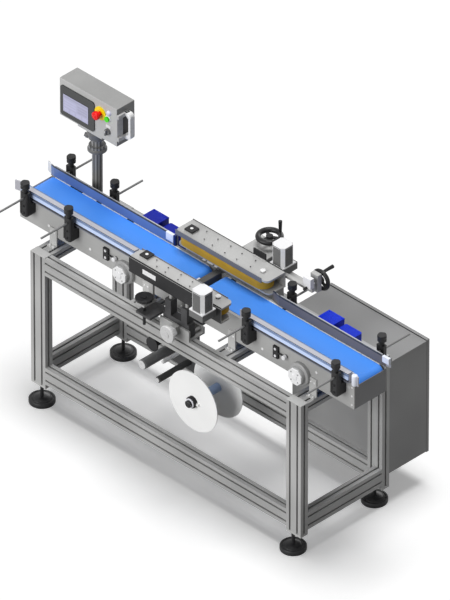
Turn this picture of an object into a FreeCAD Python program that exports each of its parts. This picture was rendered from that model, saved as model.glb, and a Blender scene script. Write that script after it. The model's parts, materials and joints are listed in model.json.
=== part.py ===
import FreeCAD, Part
import math
import os

# Linear labelling machine for flat bases: two belt conveyors in line, a pair of
# side gripper belts that carry the product over the gap between them, and a
# label head that works upwards through that gap.
# Millimetres, +X along product travel, +Z up, front (operator side) towards -Y.
# The origin is on the floor, under the middle of the overall length and depth.

Vector = FreeCAD.Vector

RUN_CLEARANCE = 0.05        # radial clearance of a shaft in its bearing or bore
FACE_CLEARANCE = 0.3        # gap between curved or moving faces

# Aluminium profile frame
PROFILE_THIN = 45.0
PROFILE_WIDE = 90.0
SLOT_OPENING = 10.0
SLOT_INNER = 16.0
SLOT_LIP = 4.5
SLOT_DEPTH = 12.0
CORE_BORE_RADIUS = 5.5
FRAME_LEFT = -870.0
FRAME_FRONT = -349.0
FRAME_LENGTH = 1682.0
FRAME_DEPTH = 552.0
LEG_LENGTH = 695.0
BOTTOM_RAIL_LIFT = 15.0
MIDDLE_RAIL_LEFT_X = -243.0
MIDDLE_RAIL_RIGHT_X = 287.0
CAP_THICKNESS = 4.0
BASE_PLATE_THICKNESS = 10.0

# Levelling feet
FOOT_HEIGHT = 99.0
FOOT_RADIUS = 60.0
FOOT_RIM_HEIGHT = 9.0
FOOT_DOME_HEIGHT = 30.0
FOOT_STUD_RADIUS = 8.0
FOOT_NUT_HEIGHT = 13.0
RIGHT_FOOT_OFFSET = 22.5

FRAME_RIGHT = FRAME_LEFT + FRAME_LENGTH
FRAME_BACK = FRAME_FRONT + FRAME_DEPTH
LEG_BOTTOM = FOOT_HEIGHT + BASE_PLATE_THICKNESS
FRAME_TOP = LEG_BOTTOM + LEG_LENGTH
SLOT_PITCH = PROFILE_WIDE / 2.0

# Conveyors
CONVEYOR_LEFT = -1038.0
LEFT_CONVEYOR_LENGTH = 1023.0
CONVEYOR_GAP = 57.0
RIGHT_CONVEYOR_LENGTH = 995.0
CONVEYOR_WIDTH = 200.0
CONVEYOR_CENTRE_Y = -146.0
BELT_RISE = 185.0           # belt surface above the frame top
BELT_THICKNESS = 3.0
BELT_WIDTH = 166.0
PLATE_THICKNESS = 4.0
PLATE_HEIGHT = 134.0
PLATE_FLANGE = 10.0
PLATE_FLANGE_THICKNESS = 2.5
BED_THICKNESS = 3.0
BED_RIB_HEIGHT = 24.0
BED_RIB_INSET = 60.0
END_ROLLER_RADIUS = 28.0
DRIVE_ROLLER_RADIUS = 30.0
ROLLER_SHAFT_RADIUS = 8.0
ROLLER_INSET = 35.0
LEFT_DRIVE_X = -373.0
RIGHT_DRIVE_X = 715.0
DRIVE_DROP = 68.0           # drive roller axis below the end rollers
END_COVER_THICKNESS = 3.0
DRIVE_HOUSING_RADIUS = 43.0
DRIVE_HOUSING_DEPTH = 43.0
DRIVE_HOUSING_ROUND = 6.0
GEARBOX_HALF_WIDTH = 50.0
GEARBOX_DEPTH = 126.0
GEARBOX_DROP = 57.0
GEARBOX_RISE = 75.0
GEARBOX_ROUND = 10.0
MOTOR_DRUM_RADIUS = 46.0
MOTOR_DRUM_LENGTH = 112.0
MOTOR_DRUM_OFFSET = 69.0
TERMINAL_LENGTH = 93.0
TERMINAL_FRONT_REACH = 30.0
TERMINAL_BACK_REACH = 65.0
TERMINAL_RISE = 88.0
BRACKET_WIDTH = 44.0
BRACKET_THICKNESS = 6.0
BRACKET_FOOT = 24.0
RIGHT_BRACKET_INSET = 24.0
BRACKET_OVERLAP = 45.0
LEFT_SENSOR_X = -492.0
RIGHT_SENSOR_X = 562.0
SENSOR_RISE = 75.0          # sensor axis above the bottom edge of the side plates
SENSOR_PLATE_WIDTH = 30.0
SENSOR_PLATE_DEPTH = 12.0
SENSOR_PLATE_DROP = 32.0
SENSOR_PLATE_RISE = 28.0
SENSOR_ARM_LENGTH = 37.0
SENSOR_ARM_RADIUS = 3.5
SENSOR_ARM_OFFSET = 8.0
SENSOR_BARREL_REACH = 58.0
SENSOR_BARREL_LENGTH = 22.0
SENSOR_BARREL_RADIUS = 9.0
PLATE_SCREWS = ((-856.0, 39.0), (-598.0, 41.0), (472.0, 41.0), (805.0, 81.0))  # x, rise on the plate
PLATE_SCREW_RADIUS = 7.0
END_SCREW_RISES = (18.0, 64.0, 110.0)
END_SCREW_RADIUS = 5.0
SCREW_HEAD_HEIGHT = 3.0

BELT_TOP = FRAME_TOP + BELT_RISE
PLATE_FRONT = CONVEYOR_CENTRE_Y - CONVEYOR_WIDTH / 2.0
PLATE_BACK = CONVEYOR_CENTRE_Y + CONVEYOR_WIDTH / 2.0
PLATE_BOTTOM = BELT_TOP - PLATE_HEIGHT
SENSOR_HEIGHT = PLATE_BOTTOM + SENSOR_RISE
LEFT_CONVEYOR_END = CONVEYOR_LEFT + LEFT_CONVEYOR_LENGTH
RIGHT_CONVEYOR_START = LEFT_CONVEYOR_END + CONVEYOR_GAP
RIGHT_CONVEYOR_END = RIGHT_CONVEYOR_START + RIGHT_CONVEYOR_LENGTH
ROLLER_HEIGHT = BELT_TOP - BELT_THICKNESS - END_ROLLER_RADIUS
DRIVE_HEIGHT = ROLLER_HEIGHT - DRIVE_DROP

# Guide rails and their clamps
GUIDE_BOTTOM_GAP = 2.0
GUIDE_HEIGHT = 50.0
FRONT_GUIDE_DEPTH = 24.0
BACK_GUIDE_DEPTH = 7.0
GROOVE_DEPTH = 5.0
GROOVE_WIDTH = 4.0
LOW_GROOVE_RISE = 5.0
HIGH_GROOVE_DROP = 11.0
GUIDE_LANE_HALF = 93.0
WEAR_STRIP_THICKNESS = 6.0
FLARE_LENGTH = 50.0
FLARE_DROP = 12.0
GUIDE_OVERHANG = 26.0       # guide end beyond the end of the left conveyor
LEFT_GUIDE_END = -254.0
RIGHT_GUIDE_START = 338.0
ROD_RADIUS = 5.0
ROD_END_REACH = 314.0       # far end of a guide rod, from the middle of the lane
LEFT_CLAMP_XS = (-961.0, -688.0)
RIGHT_CLAMP_XS = (415.0, 966.0)
CLAMP_WIDTH = 44.0
CLAMP_DEPTH = 55.0
CLAMP_HEAD_DEPTH = 24.0
CLAMP_RISE = 61.0           # clamp bottom above the bottom edge of the side plates
CLAMP_SHOULDER_DROP = 4.0
CLAMP_HEAD_RISE = 56.0
CLAMP_CORNER = 16.0
KNOB_NECK_RADIUS = 12.0
KNOB_NECK_HEIGHT = 22.0
KNOB_RADIUS = 20.0
KNOB_HEIGHT = 30.0

GUIDE_REACH = GUIDE_OVERHANG - CONVEYOR_LEFT
GUIDE_BOTTOM = BELT_TOP + GUIDE_BOTTOM_GAP
ROD_HEIGHT = GUIDE_BOTTOM + GUIDE_HEIGHT / 2.0
CLAMP_BOTTOM = PLATE_BOTTOM + CLAMP_RISE
CLAMP_SHOULDER = BELT_TOP - CLAMP_SHOULDER_DROP
CLAMP_TOP = BELT_TOP + CLAMP_HEAD_RISE

# Side gripper units
GRIPPER_LEFT = -241.0
GRIPPER_LENGTH = 571.0
GRIPPER_RISE = 105.0        # plate top above the belts
GRIPPER_PLATE_THICKNESS = 10.0
GRIPPER_CORNER = 24.0
GRIPPER_IDLER_INSET = 59.0
GRIPPER_DRIVE_INSET = 70.0
PULLEY_RADIUS = 44.0
GRIPPER_BELT_THICKNESS = 4.0
GRIPPER_BELT_HEIGHT = 40.0
GRIPPER_BELT_DROP = 21.0    # belt top below the plate top
GUARD_THICKNESS = 6.0
GUARD_DROP = 80.0           # guard bottom below the plate top
GUARD_RECESS = 12.0
COVER_THICKNESS = 3.0
COVER_STEP = 4.0
BACK_AXIS_Y = -29.0
BACK_PLATE_INNER = 46.0
BACK_PLATE_OUTER = 66.0
FRONT_AXIS_Y = -307.0
FRONT_PLATE_INNER = 25.0
FRONT_PLATE_OUTER = 50.0
BEARING_BLOCK_SIZE = 48.0
BEARING_BLOCK_HEIGHT = 6.0
PULLEY_SHAFT_RADIUS = 8.0
DRIVE_SHAFT_RISE = 4.0
BACKING_HALF_WIDTH = 20.0
MOTOR_SIZE = 75.0
MOTOR_HEIGHT = 100.0
MOTOR_CHAMFER = 15.0
MOTOR_CAP = 8.0
MOTOR_FLANGE_THICKNESS = 6.0
MOTOR_FLANGE_OVERHANG = 4.0
MOTOR_OFFSET = 11.0
MOTOR_RIGHT_INSET = 28.0
GEAR_CASE_HEIGHT = 37.0
GEAR_CASE_SIDE_MARGIN = 16.0

GRIPPER_RIGHT = GRIPPER_LEFT + GRIPPER_LENGTH
GRIPPER_TOP = BELT_TOP + GRIPPER_RISE
GRIPPER_BELT_TOP = GRIPPER_TOP - GRIPPER_BELT_DROP
GUARD_BOTTOM = GRIPPER_TOP - GUARD_DROP
GRIPPER_UNDERSIDE = GRIPPER_TOP - GRIPPER_PLATE_THICKNESS
IDLER_X = GRIPPER_LEFT + GRIPPER_IDLER_INSET
DRIVE_X = GRIPPER_RIGHT - GRIPPER_DRIVE_INSET
MOTOR_X = GRIPPER_RIGHT - MOTOR_RIGHT_INSET - MOTOR_SIZE / 2.0

# Back gripper lift and width slide
LIFT_X = 130.0
LIFT_Y = 141.0
LIFT_HALF_WIDTH = 60.0
LIFT_COLUMN_DROP = 94.0     # column top below the gripper plate top
LIFT_COLUMN_HALF_DEPTH = 29.0
LIFT_ROD_SPACING = 50.0
LIFT_ROD_RADIUS = 10.0
LIFT_SCREW_RADIUS = 8.0
LIFT_ROD_RISE = 26.0        # rod ends above the frame top
LIFT_SCREW_RISE = 76.0      # screw end above the frame top
CARRIAGE_PLATE_THICKNESS = 8.0
CARRIAGE_PLATE_DROP = 2.0
CARRIAGE_HALF_WIDTH = 73.0
CARRIAGE_WEB_HEIGHT = 44.0
CARRIAGE_WEB_FRONT = 60.0
CARRIAGE_WEB_BACK = 110.0
SLIDE_BAR_SPACING = 25.0
SLIDE_BAR_RADIUS = 8.0
SLIDE_BAR_END = 165.0
SLIDE_BAR_DROP = 34.0       # bar axes below the gripper plate top
WIDTH_SCREW_X = 459.0
WIDTH_SCREW_DROP = 12.0     # screw axis below the gripper plate
WIDTH_BLOCK_SIZE = 44.0
WIDTH_BLOCK_RISE = 50.0     # bearing block top above the screw axis
WIDTH_BLOCK_FRONT = 87.0
WIDTH_BLOCK_BACK = 111.0
WIDTH_LUG_FRONT = 52.0
WIDTH_LUG_BACK = 72.0
WIDTH_ARM_THICKNESS = 12.0
WIDTH_ARM_DROP = 39.0       # arm bottom below the screw axis
WIDTH_SCREW_END = 24.0
WIDTH_SCREW_RADIUS = 7.0
HANDWHEEL_RADIUS = 62.0
WIDTH_WHEEL_RADIUS = 53.0
HANDWHEEL_RIM_RADIUS = 10.0
HANDWHEEL_HUB_RADIUS = 16.0
HANDWHEEL_HUB_HEIGHT = 24.0
LIFT_WHEEL_RISE = 22.0      # hub bottom above the gripper plate top
LIFT_HANDLE_ANGLE = 70.0
WIDTH_HANDLE_ANGLE = -80.0
HANDLE_LENGTH = 66.0
HANDLE_RADIUS = 9.0
SPOKE_WIDTH = 14.0
SPOKE_THICKNESS = 8.0
STOP_PLATE_LEFT = 139.0
STOP_PLATE_LENGTH = 75.0
STOP_PLATE_THICKNESS = 5.0
STOP_PLATE_HEIGHT = 38.0

LIFT_COLUMN_TOP = GRIPPER_TOP - LIFT_COLUMN_DROP
LIFT_ROD_BOTTOM = FRAME_TOP + LIFT_ROD_RISE
LIFT_SCREW_BOTTOM = FRAME_TOP + LIFT_SCREW_RISE
SLIDE_BAR_HEIGHT = GRIPPER_TOP - SLIDE_BAR_DROP
WIDTH_SCREW_HEIGHT = GRIPPER_UNDERSIDE - WIDTH_SCREW_DROP
WIDTH_ARM_BOTTOM = WIDTH_SCREW_HEIGHT - WIDTH_ARM_DROP

# Front gripper slide and lift
FRONT_SLIDE_LEFT = -50.0
FRONT_SLIDE_RIGHT = 110.0
FRONT_BLOCK_FRONT = -340.0
FRONT_BLOCK_BACK = -300.0
FRONT_BASE_BACK = -250.0
FRONT_BASE_THICKNESS = 8.0
FRONT_END_BLOCK = 9.0
FRONT_BAR_RISE = 23.0       # bar axes above the frame top
FRONT_BAR_RADIUS = 7.0
FRONT_BAR_INSET = 14.0
FRONT_BLOCK_DROP = 54.0     # rod housings end this far below the guard
FRONT_BLOCK_HEIGHT = 70.0
FRONT_POST_WIDTH = 36.0
FRONT_ROD_OFFSET = 12.0
FRONT_ROD_INSET = 30.0
FRONT_ROD_LENGTH = 152.0
WHITE_KNOB_X = 48.0
WHITE_KNOB_RISE = 39.0      # knob axis above the frame top
WHITE_KNOB_FRONT = -416.0
WHITE_KNOB_RADIUS = 40.0
WHITE_KNOB_THICKNESS = 14.0
BEARING_HOUSING_WIDTH = 28.0
BEARING_HOUSING_DEPTH = 28.0
BEARING_HOUSING_HEIGHT = 47.0
FRONT_LIFT_X = -112.0
FRONT_LIFT_Y = -394.0
FRONT_KNOB_DROP = 71.0      # knob below the guard
FRONT_LIFT_KNOB_THICKNESS = 14.0
FRONT_LIFT_KNOB_RADIUS = 40.0
FRONT_LUG_THICKNESS = 12.0
FRONT_LUG_HALF_WIDTH = 26.0
FRONT_SHELF_DROP = 21.0
FRONT_SHELF_THICKNESS = 10.0
FRONT_STRAP_WIDTH = 24.0
FRONT_STRAP_THICKNESS = 12.0
FRONT_STRAP_GAP = 1.0
FRONT_COLLAR_RADIUS = 12.0
FRONT_COLLAR_HEIGHT = 8.0
FRONT_SCREW_BOTTOM_GAP = 6.0

WHITE_KNOB_HEIGHT = FRAME_TOP + WHITE_KNOB_RISE
FRONT_BAR_HEIGHT = FRAME_TOP + FRONT_BAR_RISE
FRONT_ROD_BOTTOM = GUARD_BOTTOM - FRONT_ROD_LENGTH
FRONT_BLOCK_TOP = GUARD_BOTTOM - FRONT_BLOCK_DROP
FRONT_LIFT_KNOB_HEIGHT = GUARD_BOTTOM - FRONT_KNOB_DROP
FRONT_SHELF_HEIGHT = FRONT_LIFT_KNOB_HEIGHT - FRONT_SHELF_DROP

# Operator panel
PANEL_X = -825.0
PANEL_Y = 24.0
PANEL_WIDTH = 358.0
PANEL_DEPTH = 110.0
PANEL_HEIGHT = 198.0
PANEL_WALL = 2.0
POST_RADIUS = 24.0
POST_COLLAR_RADIUS = 39.0
POST_LENGTH = 381.0
COLLAR_HEIGHT = 30.0
NECK_RADIUS = 27.0
NECK_LENGTH = 84.0
POST_FLANGE_RADIUS = 45.0
POST_FLANGE_THICKNESS = 12.0
PANEL_FLANGE_THICKNESS = 16.0
PANEL_FLANGE_WIDTH = 150.0
PANEL_FLANGE_DEPTH = 92.0
BEZEL_LEFT = 10.0
BEZEL_WIDTH = 211.0
BEZEL_BOTTOM = 12.0
BEZEL_HEIGHT = 157.0
BEZEL_THICKNESS = 6.0
BEZEL_CORNER = 14.0
DISPLAY_LEFT = 28.0
DISPLAY_WIDTH = 158.0
DISPLAY_BOTTOM = 37.0
DISPLAY_HEIGHT = 92.0
DISPLAY_THICKNESS = 1.0
ESTOP_OFFSET = 257.0
ESTOP_RISE = 132.0
ESTOP_COLLAR_RADIUS = 33.0
ESTOP_COLLAR_THICKNESS = 5.0
ESTOP_HEAD_RADIUS = 20.0
ESTOP_HEAD_LENGTH = 20.0
ESTOP_STEM_RADIUS = 11.0
ESTOP_STANDOFF = 14.0
BUTTON_OFFSET = 304.0
START_RISE = 125.0
SELECTOR_RISE = 57.0
BUTTON_RADIUS = 13.0
BUTTON_LENGTH = 8.0
BUTTON_STEM_RADIUS = 9.0
SELECTOR_RADIUS = 15.0
SELECTOR_LENGTH = 10.0
SELECTOR_GRIP = 12.0
PANEL_HANDLE_HEIGHT = 138.0
PANEL_HANDLE_WIDTH = 24.0
PANEL_HANDLE_REACH = 42.0
PANEL_HANDLE_BAR = 12.0
PANEL_HANDLE_CORNER = 18.0

POST_TOP = FRAME_TOP + POST_LENGTH
NECK_TOP = POST_TOP + COLLAR_HEIGHT + NECK_LENGTH
PANEL_BOTTOM = NECK_TOP + PANEL_FLANGE_THICKNESS
PANEL_LEFT = PANEL_X - PANEL_WIDTH / 2.0
PANEL_RIGHT = PANEL_X + PANEL_WIDTH / 2.0
PANEL_FRONT = PANEL_Y - PANEL_DEPTH / 2.0

# Electrical cabinet
CABINET_WIDTH = 600.0
CABINET_DEPTH = 231.0
CABINET_HEIGHT = 597.0
CABINET_BOTTOM = 170.0
CABINET_WALL = 2.0
CABINET_LIP = 18.0
DOOR_THICKNESS = 15.0
DOOR_GAP = 2.0
DOOR_OVERHANG = 4.0
DOOR_WALL = 2.0
LOCK_RADIUS = 12.0
LOCK_REACH = 9.0
LOCK_STEM_RADIUS = 8.0
LOCK_INSET = 40.0
HINGE_RADIUS = 5.0
HINGE_PIN_RADIUS = 2.5
HINGE_KNUCKLE_HEIGHT = 25.0
HINGE_END_MARGIN = 80.0
MOUNTING_PLATE_THICKNESS = 3.0
MOUNTING_PLATE_STANDOFF = 20.0
MOUNTING_PLATE_MARGIN = 40.0

CABINET_RIGHT = FRAME_RIGHT
CABINET_LEFT = CABINET_RIGHT - CABINET_WIDTH
CABINET_FRONT = FRAME_BACK
CABINET_BACK = CABINET_FRONT + CABINET_DEPTH
CABINET_TOP = CABINET_BOTTOM + CABINET_HEIGHT
DOOR_FRONT = CABINET_BACK + DOOR_GAP
DOOR_BACK = DOOR_FRONT + DOOR_THICKNESS
HINGE_X = CABINET_LEFT - DOOR_OVERHANG - HINGE_RADIUS - 1.0
LOCK_X = CABINET_RIGHT - LOCK_INSET
LOCK_Z = CABINET_BOTTOM + CABINET_HEIGHT / 2.0

# Label head
REEL_X = 22.0
REEL_HEIGHT = 376.0
REEL_DISC_RADIUS = 150.0
REEL_DISC_THICKNESS = 4.0
REEL_FRONT = -226.0
REEL_BACK = -66.0
REEL_CORE_RADIUS = 20.0
REEL_HUB_RADIUS = 27.0
REEL_HUB_LENGTH = 34.0
REEL_SHAFT_RADIUS = 10.0
HEAD_PLATE_FRONT = -44.0
HEAD_PLATE_THICKNESS = 12.0
HEAD_PLATE_LEFT = -320.0
HEAD_PLATE_RIGHT = -130.0
HEAD_PLATE_BOTTOM = 350.0
HEAD_ARM_HEIGHT = 60.0
HEAD_ARM_RIGHT = 60.0
HEADER_THICKNESS = 12.0
HEADER_DEPTH = 60.0
HEAD_ROLLER_FRONT = -239.0
PULL_ROLLER_X = -280.0
PULL_ROLLER_HEIGHT = 430.0
PULL_ROLLER_RADIUS = 24.0
DANCER_X = -183.0
DANCER_HEIGHT = 396.0
DANCER_RADIUS = 15.0
WEB_ROLLER_X = -153.0
WEB_ROLLER_HEIGHT = 507.0
WEB_ROLLER_RADIUS = 9.0
REWIND_X = -270.0
REWIND_HEIGHT = 520.0
REWIND_DISC_RADIUS = 35.0
REWIND_CORE_RADIUS = 20.0
REWIND_FRONT = -185.0
REWIND_DISC_THICKNESS = 6.0
AXLE_RADIUS = 6.0
PEEL_PLATE_OFFSET = 30.0    # from the end of the left conveyor
PEEL_PLATE_THICKNESS = 12.0
PEEL_TOP_GAP = 2.0
PEEL_SIDE_GAP = 6.0
TRANSFER_STRIP_REACH = 22.0
TRANSFER_STRIP_THICKNESS = 4.0

HEAD_PLATE_BACK = HEAD_PLATE_FRONT + HEAD_PLATE_THICKNESS
PEEL_PLATE_X = LEFT_CONVEYOR_END + PEEL_PLATE_OFFSET
MIDDLE_RAIL_BOTTOM = FRAME_TOP - PROFILE_THIN


def block(x0, y0, z0, x1, y1, z1):
    """Box between two opposite corners."""
    return Part.makeBox(x1 - x0, y1 - y0, z1 - z0, Vector(x0, y0, z0))


def rod_x(x0, x1, y, z, radius):
    return Part.makeCylinder(radius, x1 - x0, Vector(x0, y, z), Vector(1, 0, 0))


def rod_y(x, y0, y1, z, radius):
    return Part.makeCylinder(radius, y1 - y0, Vector(x, y0, z), Vector(0, 1, 0))


def rod_z(x, y, z0, z1, radius):
    return Part.makeCylinder(radius, z1 - z0, Vector(x, y, z0), Vector(0, 0, 1))


def joined(first, *others):
    """One solid from pieces that are welded or cast together."""
    result = first
    for other in others:
        result = result.fuse(other)
    return result.removeSplitter()


def mirrored(shape):
    """The shape on the other side of the product lane."""
    return shape.mirror(Vector(0, CONVEYOR_CENTRE_Y, 0), Vector(0, 1, 0))


def export(name, pieces):
    """Write one node as a group of separate solids."""
    solids = []
    for piece in pieces:
        solids.extend(piece.Solids)
    shape = Part.makeCompound(solids)
    shape.exportStep("parts/%s.step" % name)


# Profile bars

def slot_shape(reach):
    """T-slot cross-section opening towards +Y at the origin, as a face in XY."""
    half_open = SLOT_OPENING / 2.0
    half_inner = SLOT_INNER / 2.0
    outline = [(-half_open, reach), (-half_open, -SLOT_LIP), (-half_inner, -SLOT_LIP),
               (-half_inner, -SLOT_DEPTH), (half_inner, -SLOT_DEPTH), (half_inner, -SLOT_LIP),
               (half_open, -SLOT_LIP), (half_open, reach)]
    points = [Vector(x, y, 0) for x, y in outline]
    return Part.Face(Part.makePolygon(points + points[:1]))


def profile_bar(length):
    """Bar along +Z: wide sides face +-Y with two slots each, thin sides one slot."""
    bar = Part.makeBox(PROFILE_WIDE, PROFILE_THIN, length, Vector(-PROFILE_WIDE / 2.0, -PROFILE_THIN / 2.0, 0))
    cuts = []
    for centre in (-SLOT_PITCH / 2.0, SLOT_PITCH / 2.0):
        slot = slot_shape(1.0).extrude(Vector(0, 0, length))
        slot.translate(Vector(centre, PROFILE_THIN / 2.0, 0))
        cuts.append(slot)
        opposite = slot.copy()
        opposite.rotate(Vector(centre, 0, 0), Vector(0, 0, 1), 180)
        cuts.append(opposite)
        cuts.append(rod_z(centre, 0, 0, length, CORE_BORE_RADIUS))
    side = slot_shape(1.0).extrude(Vector(0, 0, length))
    side.rotate(Vector(0, 0, 0), Vector(0, 0, 1), -90)
    side.translate(Vector(PROFILE_WIDE / 2.0, 0, 0))
    cuts.append(side)
    other = side.copy()
    other.rotate(Vector(0, 0, 0), Vector(0, 0, 1), 180)
    cuts.append(other)
    return bar.cut(cuts)


def upright(x, y):
    bar = profile_bar(LEG_LENGTH)
    bar.translate(Vector(x, y, LEG_BOTTOM))
    return bar


def rail_along_x(x0, x1, y, z):
    """Rail along X standing on its thin side, centred on y and z."""
    bar = profile_bar(x1 - x0)
    bar.rotate(Vector(0, 0, 0), Vector(0, 1, 0), 90)
    bar.translate(Vector(x0, y, z))
    return bar


def rail_along_y(y0, y1, x, z, flat):
    """Rail along Y centred on x and z, lying flat or standing on its thin side."""
    bar = profile_bar(y1 - y0)
    if not flat:
        bar.rotate(Vector(0, 0, 0), Vector(0, 0, 1), 90)
    bar.rotate(Vector(0, 0, 0), Vector(1, 0, 0), -90)
    bar.translate(Vector(x, y0, z))
    return bar


def leg_centres():
    xs = (FRAME_LEFT + PROFILE_WIDE / 2.0, FRAME_RIGHT - PROFILE_WIDE / 2.0)
    ys = (FRAME_FRONT + PROFILE_THIN / 2.0, FRAME_BACK - PROFILE_THIN / 2.0)
    return [(x, y) for x in xs for y in ys]


def frame_legs():
    return [upright(x, y) for x, y in leg_centres()]


def frame_long_rails():
    x0 = FRAME_LEFT + PROFILE_WIDE
    x1 = FRAME_RIGHT - PROFILE_WIDE
    top = FRAME_TOP - PROFILE_WIDE / 2.0
    bottom = LEG_BOTTOM + BOTTOM_RAIL_LIFT + PROFILE_WIDE / 2.0
    ys = (FRAME_FRONT + PROFILE_THIN / 2.0, FRAME_BACK - PROFILE_THIN / 2.0)
    return [rail_along_x(x0, x1, y, z) for y in ys for z in (top, bottom)]


def frame_cross_rails():
    y0 = FRAME_FRONT + PROFILE_THIN
    y1 = FRAME_BACK - PROFILE_THIN
    top = FRAME_TOP - PROFILE_THIN / 2.0
    bottom = LEG_BOTTOM + BOTTOM_RAIL_LIFT + PROFILE_WIDE / 2.0
    left = FRAME_LEFT + PROFILE_WIDE / 2.0
    right = FRAME_RIGHT - PROFILE_WIDE / 2.0
    rails = [rail_along_y(y0, y1, x, top, True)
             for x in (left, MIDDLE_RAIL_LEFT_X, MIDDLE_RAIL_RIGHT_X, right)]
    rails.append(rail_along_y(y0, y1, FRAME_LEFT + PROFILE_THIN / 2.0, bottom, False))
    rails.append(rail_along_y(y0, y1, FRAME_RIGHT - PROFILE_THIN / 2.0, bottom, False))
    return rails


def leg_end_plates():
    plates = []
    for x, y in leg_centres():
        x0 = x - PROFILE_WIDE / 2.0
        y0 = y - PROFILE_THIN / 2.0
        cap = block(x0, y0, FRAME_TOP, x0 + PROFILE_WIDE, y0 + PROFILE_THIN, FRAME_TOP + CAP_THICKNESS)
        top_edges = [edge for edge in cap.Edges if edge.BoundBox.ZMin > FRAME_TOP + CAP_THICKNESS / 2.0]
        plates.append(cap.makeChamfer(CAP_THICKNESS / 3.0, top_edges))
        base = block(x0, y0, FOOT_HEIGHT, x0 + PROFILE_WIDE, y0 + PROFILE_THIN, LEG_BOTTOM)
        plates.append(base)
    return plates


def foot_centres():
    centres = []
    for y in (FRAME_FRONT + PROFILE_THIN / 2.0, FRAME_BACK - PROFILE_THIN / 2.0):
        centres.append((FRAME_LEFT + PROFILE_WIDE / 2.0, y))
        centres.append((FRAME_RIGHT - PROFILE_WIDE + RIGHT_FOOT_OFFSET, y))
    return centres


def levelling_feet():
    feet = []
    stud_top = FOOT_HEIGHT
    for x, y in foot_centres():
        dome_start = Vector(FOOT_RADIUS, 0, FOOT_RIM_HEIGHT)
        dome_middle = Vector(FOOT_RADIUS * 0.72, 0, FOOT_DOME_HEIGHT * 0.72)
        dome_end = Vector(FOOT_STUD_RADIUS, 0, FOOT_DOME_HEIGHT)
        edges = [Part.makeLine(Vector(0, 0, 0), Vector(FOOT_RADIUS, 0, 0)),
                 Part.makeLine(Vector(FOOT_RADIUS, 0, 0), dome_start),
                 Part.Arc(dome_start, dome_middle, dome_end).toShape(),
                 Part.makeLine(dome_end, Vector(FOOT_STUD_RADIUS, 0, stud_top)),
                 Part.makeLine(Vector(FOOT_STUD_RADIUS, 0, stud_top), Vector(0, 0, stud_top)),
                 Part.makeLine(Vector(0, 0, stud_top), Vector(0, 0, 0))]
        foot = Part.Face(Part.Wire(edges)).revolve(Vector(0, 0, 0), Vector(0, 0, 1), 360)
        foot.translate(Vector(x, y, 0))
        nut = hexagon(x, y, FOOT_HEIGHT - FOOT_NUT_HEIGHT, FOOT_HEIGHT, FOOT_STUD_RADIUS * 1.6)
        feet.append(foot.fuse(nut).removeSplitter())
    return feet


def hexagon(x, y, z0, z1, radius):
    corners = [Vector(x + radius * math.cos(math.radians(60 * i)),
                      y + radius * math.sin(math.radians(60 * i)), z0) for i in range(6)]
    return Part.Face(Part.makePolygon(corners + corners[:1])).extrude(Vector(0, 0, z1 - z0))


# Belts that run round pulleys

def loop_wire(pulleys, grow, place):
    """Closed wire round pulleys (a, b, radius), listed anticlockwise, grown outwards."""
    count = len(pulleys)
    normals = []
    for i in range(count):
        a1, b1, r1 = pulleys[i]
        a2, b2, r2 = pulleys[(i + 1) % count]
        span = math.hypot(a2 - a1, b2 - b1)
        da, db = (a2 - a1) / span, (b2 - b1) / span
        lean = (r1 - r2) / span
        square = math.sqrt(1.0 - lean * lean)
        normals.append((da * lean + db * square, db * lean - da * square))
    edges = []
    for i in range(count):
        a, b, radius = pulleys[i]
        radius += grow
        before = normals[i - 1]
        after = normals[i]
        start = math.atan2(before[1], before[0])
        end = math.atan2(after[1], after[0])
        while end < start:
            end += 2.0 * math.pi
        middle = (start + end) / 2.0
        points = [place(a + radius * math.cos(t), b + radius * math.sin(t)) for t in (start, middle, end)]
        edges.append(Part.Arc(*points).toShape())
        a2, b2, r2 = pulleys[(i + 1) % count]
        r2 += grow
        target = place(a2 + r2 * after[0], b2 + r2 * after[1])
        edges.append(Part.makeLine(points[2], target))
    return Part.Wire(edges)


def belt_loop(pulleys, thickness, place, width):
    outer = Part.Face(loop_wire(pulleys, thickness, place))
    inner = Part.Face(loop_wire(pulleys, 0.0, place))
    return outer.extrude(width).cut(inner.extrude(width))


# Conveyors

def conveyor_spans():
    """Left end, right end and drive roller position of each conveyor."""
    return [(CONVEYOR_LEFT, LEFT_CONVEYOR_END, LEFT_DRIVE_X),
            (RIGHT_CONVEYOR_START, RIGHT_CONVEYOR_END, RIGHT_DRIVE_X)]


def roller_axes(x0, x1, drive_x):
    return [(x0 + ROLLER_INSET, ROLLER_HEIGHT, END_ROLLER_RADIUS),
            (drive_x, DRIVE_HEIGHT, DRIVE_ROLLER_RADIUS),
            (x1 - ROLLER_INSET, ROLLER_HEIGHT, END_ROLLER_RADIUS)]


def conveyor_side_plates():
    pieces = []
    for x0, x1, drive_x in conveyor_spans():
        sheet = block(x0, PLATE_FRONT, PLATE_BOTTOM, x1, PLATE_FRONT + PLATE_THICKNESS, BELT_TOP)
        flange = block(x0, PLATE_FRONT, BELT_TOP - PLATE_FLANGE_THICKNESS,
                       x1, PLATE_FRONT + PLATE_FLANGE, BELT_TOP)
        plate = joined(sheet, flange)
        holes = [rod_y(x, PLATE_FRONT - 1, PLATE_FRONT + PLATE_THICKNESS + 1, z,
                       ROLLER_SHAFT_RADIUS + RUN_CLEARANCE)
                 for x, z, radius in roller_axes(x0, x1, drive_x)]
        plate = plate.cut(holes)
        pieces.append(plate)
        pieces.append(mirrored(plate))
        inner_front = PLATE_FRONT + PLATE_THICKNESS
        inner_back = PLATE_BACK - PLATE_THICKNESS
        top = ROLLER_HEIGHT + END_ROLLER_RADIUS * 0.55
        outer_end = x0 if x0 == CONVEYOR_LEFT else x1 - END_COVER_THICKNESS
        pieces.append(block(outer_end, inner_front, PLATE_BOTTOM, outer_end + END_COVER_THICKNESS,
                            inner_back, top))
    return pieces


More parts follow.
